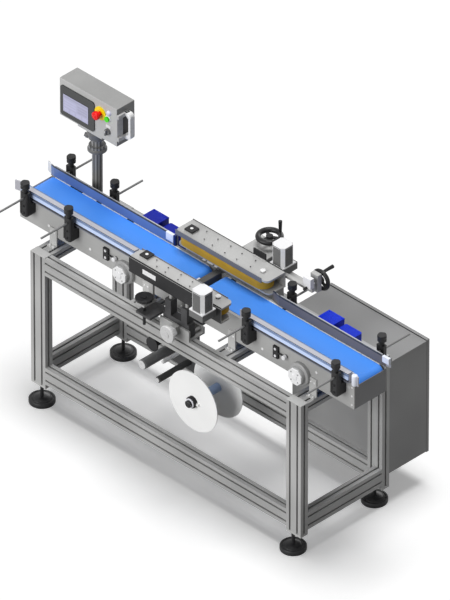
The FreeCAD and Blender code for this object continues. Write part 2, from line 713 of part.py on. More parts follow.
def conveyor_beds():
    beds = []
    top = BELT_TOP - BELT_THICKNESS - FACE_CLEARANCE
    for x0, x1, drive_x in conveyor_spans():
        start = x0 + ROLLER_INSET + END_ROLLER_RADIUS
        end = x1 - ROLLER_INSET - END_ROLLER_RADIUS
        sheet = block(start, PLATE_FRONT + PLATE_THICKNESS, top - BED_THICKNESS,
                      end, PLATE_BACK - PLATE_THICKNESS, top)
        ribs = [block(x, PLATE_FRONT + PLATE_THICKNESS, top - BED_RIB_HEIGHT, x + BED_THICKNESS,
                      PLATE_BACK - PLATE_THICKNESS, top - BED_THICKNESS)
                for x in (start + BED_RIB_INSET, (start + end) / 2.0, end - BED_RIB_INSET)]
        beds.append(joined(sheet, *ribs))
    return beds


def conveyor_belts():
    belts = []
    y0 = CONVEYOR_CENTRE_Y - BELT_WIDTH / 2.0
    for x0, x1, drive_x in conveyor_spans():
        left, drive, right = roller_axes(x0, x1, drive_x)
        belts.append(belt_loop([left, drive, right], BELT_THICKNESS,
                               lambda a, b: Vector(a, y0, b), Vector(0, BELT_WIDTH, 0)))
    return belts


def conveyor_roller(x, z, radius):
    drum_end = BELT_WIDTH / 2.0 + 4.0
    drum = rod_y(x, CONVEYOR_CENTRE_Y - drum_end, CONVEYOR_CENTRE_Y + drum_end, z, radius - FACE_CLEARANCE)
    shaft = rod_y(x, PLATE_FRONT, PLATE_BACK, z, ROLLER_SHAFT_RADIUS)
    return [joined(drum, shaft)]


def bracket_xs():
    """The brackets stand on the four top cross rails, the last one clear of the drive."""
    return (FRAME_LEFT + PROFILE_WIDE / 2.0, MIDDLE_RAIL_LEFT_X, MIDDLE_RAIL_RIGHT_X,
            FRAME_RIGHT - RIGHT_BRACKET_INSET)


def conveyor_brackets():
    pieces = []
    half = BRACKET_WIDTH / 2.0
    for x in bracket_xs():
        wall = block(x - half, PLATE_FRONT - BRACKET_THICKNESS, FRAME_TOP,
                     x + half, PLATE_FRONT, PLATE_BOTTOM + BRACKET_OVERLAP)
        foot = block(x - half, PLATE_FRONT - BRACKET_FOOT, FRAME_TOP,
                     x + half, PLATE_FRONT, FRAME_TOP + BRACKET_THICKNESS)
        bracket = joined(wall, foot)
        pieces.append(bracket)
        pieces.append(mirrored(bracket))
    return pieces


def drive_housings():
    pieces = []
    for drive_x in (LEFT_DRIVE_X, RIGHT_DRIVE_X):
        drum = rod_y(drive_x, PLATE_FRONT - DRIVE_HOUSING_DEPTH, PLATE_FRONT, DRIVE_HEIGHT,
                     DRIVE_HOUSING_RADIUS)
        rim = [edge for edge in drum.Edges
               if edge.BoundBox.YMax < PLATE_FRONT - DRIVE_HOUSING_DEPTH / 2.0]
        pieces.append(drum.makeFillet(DRIVE_HOUSING_ROUND, rim))
    return pieces


def conveyor_motors():
    """Geared motor behind each conveyor: gearbox on the drive shaft, motor along X."""
    pieces = []
    motor_y = PLATE_BACK + MOTOR_DRUM_OFFSET
    for drive_x in (LEFT_DRIVE_X, RIGHT_DRIVE_X):
        x0 = drive_x - GEARBOX_HALF_WIDTH
        gearbox = block(x0, PLATE_BACK, DRIVE_HEIGHT - GEARBOX_DROP, drive_x + GEARBOX_HALF_WIDTH,
                        PLATE_BACK + GEARBOX_DEPTH, DRIVE_HEIGHT + GEARBOX_RISE)
        upright_edges = [edge for edge in gearbox.Edges
                         if edge.BoundBox.ZLength > 1.0 and edge.BoundBox.YMin > PLATE_BACK + 1.0]
        gearbox = gearbox.makeFillet(GEARBOX_ROUND, upright_edges)
        motor_x0 = x0 - MOTOR_DRUM_LENGTH
        motor = rod_x(motor_x0, x0, motor_y, DRIVE_HEIGHT, MOTOR_DRUM_RADIUS)
        terminal = block(motor_x0, motor_y - TERMINAL_FRONT_REACH, DRIVE_HEIGHT, motor_x0 + TERMINAL_LENGTH,
                         motor_y + TERMINAL_BACK_REACH, DRIVE_HEIGHT + TERMINAL_RISE)
        pieces.append(joined(gearbox, motor, terminal))
    return pieces


def photo_sensors():
    """Sensor on a clamp plate with a short arm, on the front of each conveyor."""
    pieces = []
    half = SENSOR_PLATE_WIDTH / 2.0
    for x in (LEFT_SENSOR_X, RIGHT_SENSOR_X):
        plate = block(x - half, PLATE_FRONT - SENSOR_PLATE_DEPTH, SENSOR_HEIGHT - SENSOR_PLATE_DROP,
                      x + half, PLATE_FRONT, SENSOR_HEIGHT + SENSOR_PLATE_RISE)
        arm = rod_x(x + half, x + half + SENSOR_ARM_LENGTH, PLATE_FRONT - SENSOR_ARM_OFFSET, SENSOR_HEIGHT,
                    SENSOR_ARM_RADIUS)
        barrel = rod_y(x + SENSOR_BARREL_REACH, PLATE_FRONT - SENSOR_BARREL_LENGTH, PLATE_FRONT,
                       SENSOR_HEIGHT, SENSOR_BARREL_RADIUS)
        pieces.append(joined(plate, arm, barrel))
    return pieces


# Guide rails

def guide_profile(x0, x1, depth):
    """Front guide body with two grooves along its outer face."""
    y1 = CONVEYOR_CENTRE_Y - GUIDE_LANE_HALF
    y0 = y1 - depth
    z0 = GUIDE_BOTTOM
    z1 = GUIDE_BOTTOM + GUIDE_HEIGHT
    body = block(x0, y0, z0, x1, y1, z1)
    grooves = [block(x0 - 1, y0 - 1, z, x1 + 1, y0 + GROOVE_DEPTH, z + GROOVE_WIDTH)
               for z in (z0 + LOW_GROOVE_RISE, z1 - HIGH_GROOVE_DROP)]
    return body.cut(grooves)


def wear_strip(x0, x1):
    """Front strip with both ends bent away from the lane."""
    inner = CONVEYOR_CENTRE_Y - GUIDE_LANE_HALF
    outline = [(x0, inner - FLARE_DROP), (x0 + FLARE_LENGTH, inner), (x1 - FLARE_LENGTH, inner),
               (x1, inner - FLARE_DROP), (x1, inner - FLARE_DROP + WEAR_STRIP_THICKNESS),
               (x1 - FLARE_LENGTH, inner + WEAR_STRIP_THICKNESS),
               (x0 + FLARE_LENGTH, inner + WEAR_STRIP_THICKNESS),
               (x0, inner - FLARE_DROP + WEAR_STRIP_THICKNESS)]
    points = [Vector(x, y, GUIDE_BOTTOM) for x, y in outline]
    return Part.Face(Part.makePolygon(points + points[:1])).extrude(Vector(0, 0, GUIDE_HEIGHT))


def front_guide(x0, x1, clamp_xs, depth):
    """Body of the given depth, its wear strip and the rods that the clamps hold."""
    outer = CONVEYOR_CENTRE_Y - GUIDE_LANE_HALF - depth
    pieces = [guide_profile(x0 + FLARE_LENGTH, x1 - FLARE_LENGTH, depth), wear_strip(x0, x1)]
    pieces += [rod_y(x, CONVEYOR_CENTRE_Y - ROD_END_REACH, outer, ROD_HEIGHT, ROD_RADIUS) for x in clamp_xs]
    return pieces


def left_guide(depth):
    return front_guide(-GUIDE_REACH, LEFT_GUIDE_END, LEFT_CLAMP_XS, depth)


def right_guide(depth):
    return front_guide(RIGHT_GUIDE_START, GUIDE_REACH, RIGHT_CLAMP_XS, depth)


def guide_clamp(x):
    """Front clamp: stepped block on the side plate, and the neck and head of its knob."""
    half = CLAMP_WIDTH / 2.0
    y0 = PLATE_FRONT - CLAMP_DEPTH
    body = block(x - half, y0, CLAMP_BOTTOM, x + half, y0 + CLAMP_HEAD_DEPTH, CLAMP_TOP)
    foot = block(x - half, y0, CLAMP_BOTTOM, x + half, PLATE_FRONT, CLAMP_SHOULDER)
    body = joined(body, foot)
    low_edges = [edge for edge in body.Edges
                 if edge.BoundBox.ZMax < CLAMP_BOTTOM + 1.0 and edge.BoundBox.XLength < 1.0]
    body = body.makeFillet(CLAMP_CORNER, low_edges)
    corners = [edge for edge in body.Edges
               if edge.BoundBox.YMax < y0 + 0.01 and edge.BoundBox.ZLength > CLAMP_CORNER * 2.0]
    body = body.makeFillet(CLAMP_CORNER * 0.6, corners)
    bore = rod_y(x, y0 - 1, y0 + CLAMP_HEAD_DEPTH + 1, ROD_HEIGHT, ROD_RADIUS + RUN_CLEARANCE)
    body = body.cut(bore)
    knob_y = y0 + CLAMP_HEAD_DEPTH / 2.0
    neck = rod_z(x, knob_y, CLAMP_TOP, CLAMP_TOP + KNOB_NECK_HEIGHT, KNOB_NECK_RADIUS)
    head_bottom = CLAMP_TOP + KNOB_NECK_HEIGHT
    head = rod_z(x, knob_y, head_bottom, head_bottom + KNOB_HEIGHT, KNOB_RADIUS)
    rims = [edge for edge in head.Edges if edge.BoundBox.ZLength < 0.01]
    head = head.makeFillet(3.0, rims)
    return [body, neck, head]


def guide_clamps():
    pieces = []
    for x in LEFT_CLAMP_XS + RIGHT_CLAMP_XS:
        pair = guide_clamp(x)
        pieces += pair
        pieces += [mirrored(piece) for piece in pair]
    return pieces


# Side gripper units

def gripper_plate(y0, y1, z0, z1, lane_side):
    """Plate with its lane-side corners rounded."""
    plate = block(GRIPPER_LEFT, y0, z0, GRIPPER_RIGHT, y1, z1)
    lane_y = y0 if lane_side < 0 else y1
    corners = [edge for edge in plate.Edges
               if edge.BoundBox.ZLength > 1.0 and abs(edge.BoundBox.YMin - lane_y) < 0.01]
    return plate.makeFillet(GRIPPER_CORNER, corners)


def gripper_frame(axis_y, lane_side, inner, outer):
    """Top plate, lower guard, backing beam, outer cover and bearing blocks of a unit."""
    lane_edge = axis_y + lane_side * inner
    far_edge = axis_y - lane_side * outer
    y0, y1 = min(lane_edge, far_edge), max(lane_edge, far_edge)
    top = gripper_plate(y0, y1, GRIPPER_UNDERSIDE, GRIPPER_TOP, lane_side)
    guard_lane = lane_edge - lane_side * GUARD_RECESS
    g0, g1 = min(guard_lane, far_edge), max(guard_lane, far_edge)
    guard = gripper_plate(g0, g1, GUARD_BOTTOM, GUARD_BOTTOM + GUARD_THICKNESS, lane_side)
    shafts = [rod_z(x, axis_y, GUARD_BOTTOM - 1, GRIPPER_TOP + BEARING_BLOCK_HEIGHT + 1,
                    PULLEY_SHAFT_RADIUS + RUN_CLEARANCE) for x in (IDLER_X, DRIVE_X)]
    beam = block(IDLER_X + PULLEY_RADIUS + 8.0, axis_y - BACKING_HALF_WIDTH, GUARD_BOTTOM + GUARD_THICKNESS,
                 DRIVE_X - PULLEY_RADIUS - 8.0, axis_y + BACKING_HALF_WIDTH, GRIPPER_UNDERSIDE)
    cover_y = far_edge if lane_side < 0 else far_edge - COVER_THICKNESS
    cover = block(GRIPPER_LEFT, cover_y, GUARD_BOTTOM, GRIPPER_RIGHT, cover_y + COVER_THICKNESS,
                  GRIPPER_TOP - COVER_STEP)
    half = BEARING_BLOCK_SIZE / 2.0
    block_side = min(half, inner, outer)
    idler_block = block(IDLER_X - half, axis_y - block_side, GRIPPER_TOP, IDLER_X + half,
                        axis_y + block_side, GRIPPER_TOP + BEARING_BLOCK_HEIGHT)
    pieces = [top.cut(shafts), guard.cut(shafts), beam, cover, idler_block.cut(shafts)]
    return pieces


def gripper_belt(axis_y):
    pulleys = [(IDLER_X, axis_y, PULLEY_RADIUS), (DRIVE_X, axis_y, PULLEY_RADIUS)]
    z0 = GRIPPER_BELT_TOP - GRIPPER_BELT_HEIGHT
    return [belt_loop(pulleys, GRIPPER_BELT_THICKNESS, lambda a, b: Vector(a, b, z0),
                      Vector(0, 0, GRIPPER_BELT_HEIGHT))]


def gripper_pulley(x, axis_y, shaft_top):
    z0 = GRIPPER_BELT_TOP - GRIPPER_BELT_HEIGHT
    drum = rod_z(x, axis_y, z0 - 3.0, GRIPPER_BELT_TOP + 3.0, PULLEY_RADIUS - FACE_CLEARANCE)
    shaft = rod_z(x, axis_y, GUARD_BOTTOM, shaft_top, PULLEY_SHAFT_RADIUS)
    return [joined(drum, shaft)]


def gripper_motor(axis_y, lane_side, outer):
    """Gear case beside the unit, white flange and square motor standing on it."""
    side = -lane_side
    near = axis_y + side * (outer + COVER_THICKNESS)
    motor_near = near + side * MOTOR_OFFSET
    motor_far = motor_near + side * MOTOR_SIZE
    case_far = motor_far + side * GEAR_CASE_SIDE_MARGIN if lane_side < 0 else motor_far
    half = MOTOR_SIZE / 2.0
    c0, c1 = min(near, case_far), max(near, case_far)
    case = block(MOTOR_X - half - 8.0, c0, GRIPPER_UNDERSIDE - GEAR_CASE_HEIGHT, MOTOR_X + half, c1,
                 GRIPPER_UNDERSIDE)
    m0, m1 = min(motor_near, motor_far), max(motor_near, motor_far)
    over = MOTOR_FLANGE_OVERHANG
    flange_top = GRIPPER_UNDERSIDE + MOTOR_FLANGE_THICKNESS
    flange = block(MOTOR_X - half - over, m0 - over, GRIPPER_UNDERSIDE, MOTOR_X + half + over, m1 + over,
                   flange_top)
    motor = block(MOTOR_X - half, m0, flange_top, MOTOR_X + half, m1, flange_top + MOTOR_HEIGHT - MOTOR_CAP)
    cap = block(MOTOR_X - half, m0, flange_top + MOTOR_HEIGHT - MOTOR_CAP, MOTOR_X + half, m1,
                flange_top + MOTOR_HEIGHT)
    pieces = [case, flange]
    for piece in (motor, cap):
        corners = [edge for edge in piece.Edges if edge.BoundBox.ZLength > 1.0]
        pieces.append(piece.makeChamfer(MOTOR_CHAMFER, corners))
    return pieces


def back_gripper_frame():
    pieces = gripper_frame(BACK_AXIS_Y, -1, BACK_PLATE_INNER, BACK_PLATE_OUTER)
    cover_back = BACK_AXIS_Y + BACK_PLATE_OUTER + COVER_THICKNESS
    bars = [rod_y(LIFT_X + side * SLIDE_BAR_SPACING, cover_back, SLIDE_BAR_END, SLIDE_BAR_HEIGHT,
                  SLIDE_BAR_RADIUS) for side in (-1, 1)]
    half = WIDTH_BLOCK_SIZE / 2.0
    low = WIDTH_SCREW_HEIGHT - half
    arm_top = low + WIDTH_ARM_THICKNESS
    arm = block(MOTOR_X + MOTOR_SIZE / 2.0, WIDTH_LUG_FRONT, low, WIDTH_SCREW_X + half, WIDTH_LUG_BACK,
                arm_top)
    lug = block(WIDTH_SCREW_X - half, WIDTH_LUG_FRONT, arm_top, WIDTH_SCREW_X + half, WIDTH_LUG_BACK,
                WIDTH_SCREW_HEIGHT + half)
    bore = rod_y(WIDTH_SCREW_X, WIDTH_LUG_FRONT - 1, WIDTH_LUG_BACK + 1, WIDTH_SCREW_HEIGHT,
                 WIDTH_SCREW_RADIUS + FACE_CLEARANCE)
    plate_back = BACK_AXIS_Y + BACK_PLATE_OUTER
    stop = block(STOP_PLATE_LEFT, plate_back - STOP_PLATE_THICKNESS, GRIPPER_TOP,
                 STOP_PLATE_LEFT + STOP_PLATE_LENGTH, plate_back, GRIPPER_TOP + STOP_PLATE_HEIGHT)
    return pieces + bars + [arm, lug.cut(bore), stop]


def lift_column():
    """Column on the back rail with bores for the lift rods and the lift screw."""
    x0 = LIFT_X - LIFT_HALF_WIDTH
    x1 = LIFT_X + LIFT_HALF_WIDTH
    foot = block(x0 - 10.0, LIFT_Y - LIFT_COLUMN_HALF_DEPTH, FRAME_TOP, x1 + 10.0, FRAME_BACK, FRAME_TOP + 12.0)
    column = block(x0, LIFT_Y - LIFT_COLUMN_HALF_DEPTH, FRAME_TOP, x1, LIFT_Y + LIFT_COLUMN_HALF_DEPTH,
                   LIFT_COLUMN_TOP)
    bores = [rod_z(LIFT_X + side * LIFT_ROD_SPACING, LIFT_Y, FRAME_TOP + 14.0, LIFT_COLUMN_TOP + 1,
                   LIFT_ROD_RADIUS + RUN_CLEARANCE) for side in (-1, 1)]
    bores.append(rod_z(LIFT_X, LIFT_Y, FRAME_TOP + 14.0, LIFT_COLUMN_TOP + 1,
                       LIFT_SCREW_RADIUS + FACE_CLEARANCE))
    return [joined(foot, column).cut(bores)]


def lift_carriage():
    """Carriage on the column: top plate, web for the slide bars, rods, width screw arm."""
    plate_back = LIFT_Y + LIFT_COLUMN_HALF_DEPTH
    top = GRIPPER_TOP - CARRIAGE_PLATE_DROP
    under = top - CARRIAGE_PLATE_THICKNESS
    cover_back = BACK_AXIS_Y + BACK_PLATE_OUTER + COVER_THICKNESS
    plate = block(LIFT_X - CARRIAGE_HALF_WIDTH, cover_back + 2.0, under, LIFT_X + CARRIAGE_HALF_WIDTH,
                  plate_back, top)
    web = block(LIFT_X - LIFT_HALF_WIDTH, CARRIAGE_WEB_FRONT, under - CARRIAGE_WEB_HEIGHT,
                LIFT_X + LIFT_HALF_WIDTH, CARRIAGE_WEB_BACK, under)
    half = WIDTH_BLOCK_SIZE / 2.0
    arm = block(LIFT_X, WIDTH_BLOCK_FRONT, WIDTH_ARM_BOTTOM, WIDTH_SCREW_X + half, WIDTH_BLOCK_BACK,
                WIDTH_ARM_BOTTOM + WIDTH_ARM_THICKNESS)
    bearing = block(WIDTH_SCREW_X - half, WIDTH_BLOCK_FRONT, WIDTH_ARM_BOTTOM, WIDTH_SCREW_X + half,
                    WIDTH_BLOCK_BACK, WIDTH_SCREW_HEIGHT + WIDTH_BLOCK_RISE)
    rods = [rod_z(LIFT_X + side * LIFT_ROD_SPACING, LIFT_Y, LIFT_ROD_BOTTOM, under, LIFT_ROD_RADIUS)
            for side in (-1, 1)]
    body = joined(plate, web, arm, bearing, *rods)
    bores = [rod_y(LIFT_X + side * SLIDE_BAR_SPACING, CARRIAGE_WEB_FRONT - 1, WIDTH_BLOCK_BACK + 1,
                   SLIDE_BAR_HEIGHT, SLIDE_BAR_RADIUS + RUN_CLEARANCE) for side in (-1, 1)]
    bores.append(rod_z(LIFT_X, LIFT_Y, WIDTH_ARM_BOTTOM - 1, top + 1, LIFT_SCREW_RADIUS + RUN_CLEARANCE))
    bores.append(rod_y(WIDTH_SCREW_X, WIDTH_BLOCK_FRONT - 1, WIDTH_BLOCK_BACK + 1, WIDTH_SCREW_HEIGHT,
                       WIDTH_SCREW_RADIUS + RUN_CLEARANCE))
    return [body.cut(bores)]


def handwheel(radius, shaft_length, shaft_radius, handle_angle):
    """Wheel in XY facing +Z, its hub standing on z=0, with a crank handle and a shaft down."""
    rim_z = HANDWHEEL_HUB_HEIGHT * 0.8
    ring = Part.makeTorus(radius - HANDWHEEL_RIM_RADIUS, HANDWHEEL_RIM_RADIUS, Vector(0, 0, rim_z))
    hub = rod_z(0, 0, 0, HANDWHEEL_HUB_HEIGHT, HANDWHEEL_HUB_RADIUS)
    spokes = []
    for turn in (30.0, 150.0, 270.0):
        spoke = block(0, -SPOKE_WIDTH / 2.0, rim_z - SPOKE_THICKNESS, radius - HANDWHEEL_RIM_RADIUS,
                      SPOKE_WIDTH / 2.0, rim_z)
        spoke.rotate(Vector(0, 0, 0), Vector(0, 0, 1), turn)
        spokes.append(spoke)
    grip_x = radius - HANDWHEEL_RIM_RADIUS
    grip = Part.makeCone(HANDLE_RADIUS * 0.75, HANDLE_RADIUS, HANDLE_LENGTH, Vector(grip_x, 0, rim_z),
                         Vector(0, 0, 1))
    shaft = rod_z(0, 0, -shaft_length, 0, shaft_radius)
    grip.rotate(Vector(0, 0, 0), Vector(0, 0, 1), handle_angle)
    return joined(hub, ring, grip, shaft, *spokes)


def lift_handwheel():
    hub_bottom = GRIPPER_TOP + LIFT_WHEEL_RISE
    wheel = handwheel(HANDWHEEL_RADIUS, hub_bottom - LIFT_SCREW_BOTTOM, LIFT_SCREW_RADIUS,
                      LIFT_HANDLE_ANGLE)
    wheel.translate(Vector(LIFT_X, LIFT_Y, hub_bottom))
    collar = rod_z(LIFT_X, LIFT_Y, GRIPPER_TOP - CARRIAGE_PLATE_DROP + FACE_CLEARANCE, hub_bottom,
                   HANDWHEEL_HUB_RADIUS * 0.8)
    return [joined(wheel, collar)]


def width_handwheel():
    wheel = handwheel(WIDTH_WHEEL_RADIUS, WIDTH_BLOCK_BACK + FACE_CLEARANCE - WIDTH_SCREW_END,
                      WIDTH_SCREW_RADIUS, WIDTH_HANDLE_ANGLE)
    wheel.rotate(Vector(0, 0, 0), Vector(1, 0, 0), -90)
    wheel.translate(Vector(WIDTH_SCREW_X, WIDTH_BLOCK_BACK + FACE_CLEARANCE, WIDTH_SCREW_HEIGHT))
    return [wheel]


# Front gripper support

def front_column():
    """Base on the front rail with two slide bars between end blocks, and a bearing housing."""
    x0 = FRONT_SLIDE_LEFT - 10.0
    x1 = FRONT_SLIDE_RIGHT + 10.0
    top = WHITE_KNOB_HEIGHT + 16.0
    base = block(x0, FRAME_FRONT, FRAME_TOP, x1, FRONT_BASE_BACK, FRAME_TOP + FRONT_BASE_THICKNESS)
    front_end = block(x0, FRAME_FRONT, FRAME_TOP, x1, FRAME_FRONT + FRONT_END_BLOCK, top)
    back_end = block(x0, FRONT_BASE_BACK - FRONT_END_BLOCK, FRAME_TOP, x1, FRONT_BASE_BACK, top - 20.0)
    body = joined(base, front_end, back_end)
    screw_bore = rod_y(WHITE_KNOB_X, FRAME_FRONT - 1, FRAME_FRONT + FRONT_END_BLOCK + 1, WHITE_KNOB_HEIGHT,
                       WIDTH_SCREW_RADIUS + RUN_CLEARANCE)
    body = body.cut(screw_bore)
    bars = [rod_y(x, FRAME_FRONT + FRONT_END_BLOCK, FRONT_BASE_BACK - FRONT_END_BLOCK, FRONT_BAR_HEIGHT,
                  FRONT_BAR_RADIUS)
            for x in (FRONT_SLIDE_LEFT + FRONT_BAR_INSET, FRONT_SLIDE_RIGHT - FRONT_BAR_INSET)]
    half = BEARING_HOUSING_WIDTH / 2.0
    low = WHITE_KNOB_HEIGHT - BEARING_HOUSING_HEIGHT / 2.0
    housing = block(WHITE_KNOB_X - half, FRAME_FRONT - BEARING_HOUSING_DEPTH, low, WHITE_KNOB_X + half,
                    FRAME_FRONT, low + BEARING_HOUSING_HEIGHT)
    housing_bore = rod_y(WHITE_KNOB_X, FRAME_FRONT - BEARING_HOUSING_DEPTH - 1, FRAME_FRONT + 1,
                         WHITE_KNOB_HEIGHT, WIDTH_SCREW_RADIUS + RUN_CLEARANCE)
    return [body] + bars + [housing.cut(housing_bore)]


def front_rod_xs():
    """The two rods that guide the front unit as it lifts."""
    return (FRONT_SLIDE_LEFT + FRONT_ROD_INSET, FRONT_SLIDE_RIGHT - FRONT_ROD_INSET)


def front_slide():
    """Block that slides on the bars, with two rod housings and the nut arm of the lift screw."""
    low = FRAME_TOP + FRONT_BASE_THICKNESS + 2.0
    front = FRONT_BLOCK_FRONT + 1.0
    block_top = low + FRONT_BLOCK_HEIGHT
    body = block(FRONT_SLIDE_LEFT, front, low, FRONT_SLIDE_RIGHT, FRONT_BLOCK_BACK, block_top)
    arm = block(FRONT_LIFT_X - FRONT_LUG_HALF_WIDTH, FRONT_LIFT_Y - FRONT_LUG_HALF_WIDTH,
                block_top - FRONT_LUG_THICKNESS, FRONT_SLIDE_LEFT + 1.0, FRONT_BLOCK_BACK - 10.0, block_top)
    half_post = FRONT_POST_WIDTH / 2.0
    posts = [block(x - half_post, front, block_top, x + half_post, FRONT_BLOCK_BACK, FRONT_BLOCK_TOP)
             for x in front_rod_xs()]
    body = joined(body, arm, *posts)
    bores = [rod_y(x, FRONT_BLOCK_FRONT, FRONT_BLOCK_BACK + 1, FRONT_BAR_HEIGHT,
                   FRONT_BAR_RADIUS + RUN_CLEARANCE)
             for x in (FRONT_SLIDE_LEFT + FRONT_BAR_INSET, FRONT_SLIDE_RIGHT - FRONT_BAR_INSET)]
    bores += [rod_z(x, FRONT_AXIS_Y - FRONT_ROD_OFFSET, FRONT_ROD_BOTTOM - FRONT_ROD_OFFSET,
                    FRONT_BLOCK_TOP + 1, SLIDE_BAR_RADIUS + RUN_CLEARANCE) for x in front_rod_xs()]
    bores.append(rod_y(WHITE_KNOB_X, FRONT_BLOCK_FRONT, FRONT_BLOCK_BACK + 1, WHITE_KNOB_HEIGHT,
                       WIDTH_SCREW_RADIUS + FACE_CLEARANCE))
    bores.append(rod_z(FRONT_LIFT_X, FRONT_LIFT_Y, low, block_top + 1, WIDTH_SCREW_RADIUS + FACE_CLEARANCE))
    return [body.cut(bores)]


def front_gripper_frame():
    """The unit, its two lift rods and the hanging shelf in which the lift screw turns."""
    pieces = gripper_frame(FRONT_AXIS_Y, 1, FRONT_PLATE_INNER, FRONT_PLATE_OUTER)
    rods = [rod_z(x, FRONT_AXIS_Y - FRONT_ROD_OFFSET, FRONT_ROD_BOTTOM, GUARD_BOTTOM, SLIDE_BAR_RADIUS)
            for x in front_rod_xs()]
    strap_front = FRONT_LIFT_Y + FRONT_LIFT_KNOB_RADIUS + FRONT_STRAP_GAP
    strap_back = strap_front + FRONT_STRAP_THICKNESS
    half_strap = FRONT_STRAP_WIDTH / 2.0
    shelf_top = FRONT_SHELF_HEIGHT + FRONT_SHELF_THICKNESS
    shelf = block(FRONT_LIFT_X - FRONT_LUG_HALF_WIDTH, FRONT_LIFT_Y - FRONT_LUG_HALF_WIDTH,
                  FRONT_SHELF_HEIGHT, FRONT_LIFT_X + FRONT_LUG_HALF_WIDTH, strap_back, shelf_top)
    strap = block(FRONT_LIFT_X - half_strap, strap_front, FRONT_SHELF_HEIGHT, FRONT_LIFT_X + half_strap,
                  strap_back, GUARD_BOTTOM)
    bore = rod_z(FRONT_LIFT_X, FRONT_LIFT_Y, FRONT_SHELF_HEIGHT - 1, shelf_top + 1,
                 WIDTH_SCREW_RADIUS + RUN_CLEARANCE)
    return pieces + rods + [joined(shelf, strap).cut(bore)]


def round_knob(radius, thickness):
    """Knob in XY facing +Z on z=0, with rounded rims and a low boss."""
    knob = rod_z(0, 0, 0, thickness, radius)
    rims = [edge for edge in knob.Edges if edge.BoundBox.ZLength < 0.01]
    knob = knob.makeFillet(thickness * 0.2, rims)
    boss = rod_z(0, 0, thickness, thickness + 4.0, radius * 0.35)
    return joined(knob, boss)


def front_width_knob():
    knob = round_knob(WHITE_KNOB_RADIUS, WHITE_KNOB_THICKNESS)
    knob.rotate(Vector(0, 0, 0), Vector(1, 0, 0), 90)
    knob.translate(Vector(WHITE_KNOB_X, WHITE_KNOB_FRONT + WHITE_KNOB_THICKNESS, WHITE_KNOB_HEIGHT))
    shaft = rod_y(WHITE_KNOB_X, WHITE_KNOB_FRONT + WHITE_KNOB_THICKNESS, FRONT_BASE_BACK - 20.0,
                  WHITE_KNOB_HEIGHT, WIDTH_SCREW_RADIUS)
    return [joined(knob, shaft)]


def front_lift_knob():
    knob = round_knob(FRONT_LIFT_KNOB_RADIUS, FRONT_LIFT_KNOB_THICKNESS)
    knob.translate(Vector(FRONT_LIFT_X, FRONT_LIFT_Y, FRONT_LIFT_KNOB_HEIGHT))
    screw = rod_z(FRONT_LIFT_X, FRONT_LIFT_Y, FRAME_TOP + FRONT_SCREW_BOTTOM_GAP, FRONT_LIFT_KNOB_HEIGHT,
                  WIDTH_SCREW_RADIUS)
    collar = rod_z(FRONT_LIFT_X, FRONT_LIFT_Y, FRONT_SHELF_HEIGHT + FRONT_SHELF_THICKNESS + FACE_CLEARANCE,
                   FRONT_LIFT_KNOB_HEIGHT, FRONT_COLLAR_RADIUS)
    ring_top = FRONT_SHELF_HEIGHT - FACE_CLEARANCE
    ring = rod_z(FRONT_LIFT_X, FRONT_LIFT_Y, ring_top - FRONT_COLLAR_HEIGHT, ring_top, FRONT_COLLAR_RADIUS)
    return [joined(knob, screw, collar, ring)]


# Operator panel

def panel_post():
    base = rod_z(PANEL_X, PANEL_Y, FRAME_TOP, FRAME_TOP + POST_FLANGE_THICKNESS, POST_FLANGE_RADIUS)
    tube = rod_z(PANEL_X, PANEL_Y, FRAME_TOP + POST_FLANGE_THICKNESS, POST_TOP, POST_RADIUS)
    tube = tube.cut(rod_z(PANEL_X, PANEL_Y, FRAME_TOP + POST_FLANGE_THICKNESS, POST_TOP, POST_RADIUS - 3.0))
    cone = Part.makeCone(POST_RADIUS + 2.0, POST_COLLAR_RADIUS, COLLAR_HEIGHT * 0.5,
                         Vector(PANEL_X, PANEL_Y, POST_TOP), Vector(0, 0, 1))
    ring = rod_z(PANEL_X, PANEL_Y, POST_TOP + COLLAR_HEIGHT * 0.5, POST_TOP + COLLAR_HEIGHT,
                 POST_COLLAR_RADIUS)
    neck = rod_z(PANEL_X, PANEL_Y, POST_TOP + COLLAR_HEIGHT, NECK_TOP - FACE_CLEARANCE, NECK_RADIUS)
    return [base, tube, joined(cone, ring, neck)]


def panel_box():
    """Sheet-metal box with its swivel flange below."""
    top = PANEL_BOTTOM + PANEL_HEIGHT
    outer = block(PANEL_LEFT, PANEL_FRONT, PANEL_BOTTOM, PANEL_RIGHT, PANEL_FRONT + PANEL_DEPTH, top)
    corners = [edge for edge in outer.Edges if edge.BoundBox.DiagonalLength > 50.0]
    outer = outer.makeFillet(PANEL_WALL, corners)
    wall = PANEL_WALL
    inner = block(PANEL_LEFT + wall, PANEL_FRONT + wall, PANEL_BOTTOM + wall, PANEL_RIGHT - wall,
                  PANEL_FRONT + PANEL_DEPTH - wall, top - wall)
    holes = [rod_y(PANEL_LEFT + ESTOP_OFFSET, PANEL_FRONT - 1, PANEL_FRONT + wall + 1,
                   PANEL_BOTTOM + ESTOP_RISE, ESTOP_STEM_RADIUS + FACE_CLEARANCE)]
    for rise in (START_RISE, SELECTOR_RISE):
        holes.append(rod_y(PANEL_LEFT + BUTTON_OFFSET, PANEL_FRONT - 1, PANEL_FRONT + wall + 1,
                           PANEL_BOTTOM + rise, BUTTON_STEM_RADIUS + FACE_CLEARANCE))
    shell = outer.cut([inner] + holes)
    half_w = PANEL_FLANGE_WIDTH / 2.0
    half_d = PANEL_FLANGE_DEPTH / 2.0
    flange = block(PANEL_X - half_w, PANEL_Y - half_d, PANEL_BOTTOM - PANEL_FLANGE_THICKNESS,
                   PANEL_X + half_w, PANEL_Y + half_d, PANEL_BOTTOM)
    return [joined(shell, flange)]


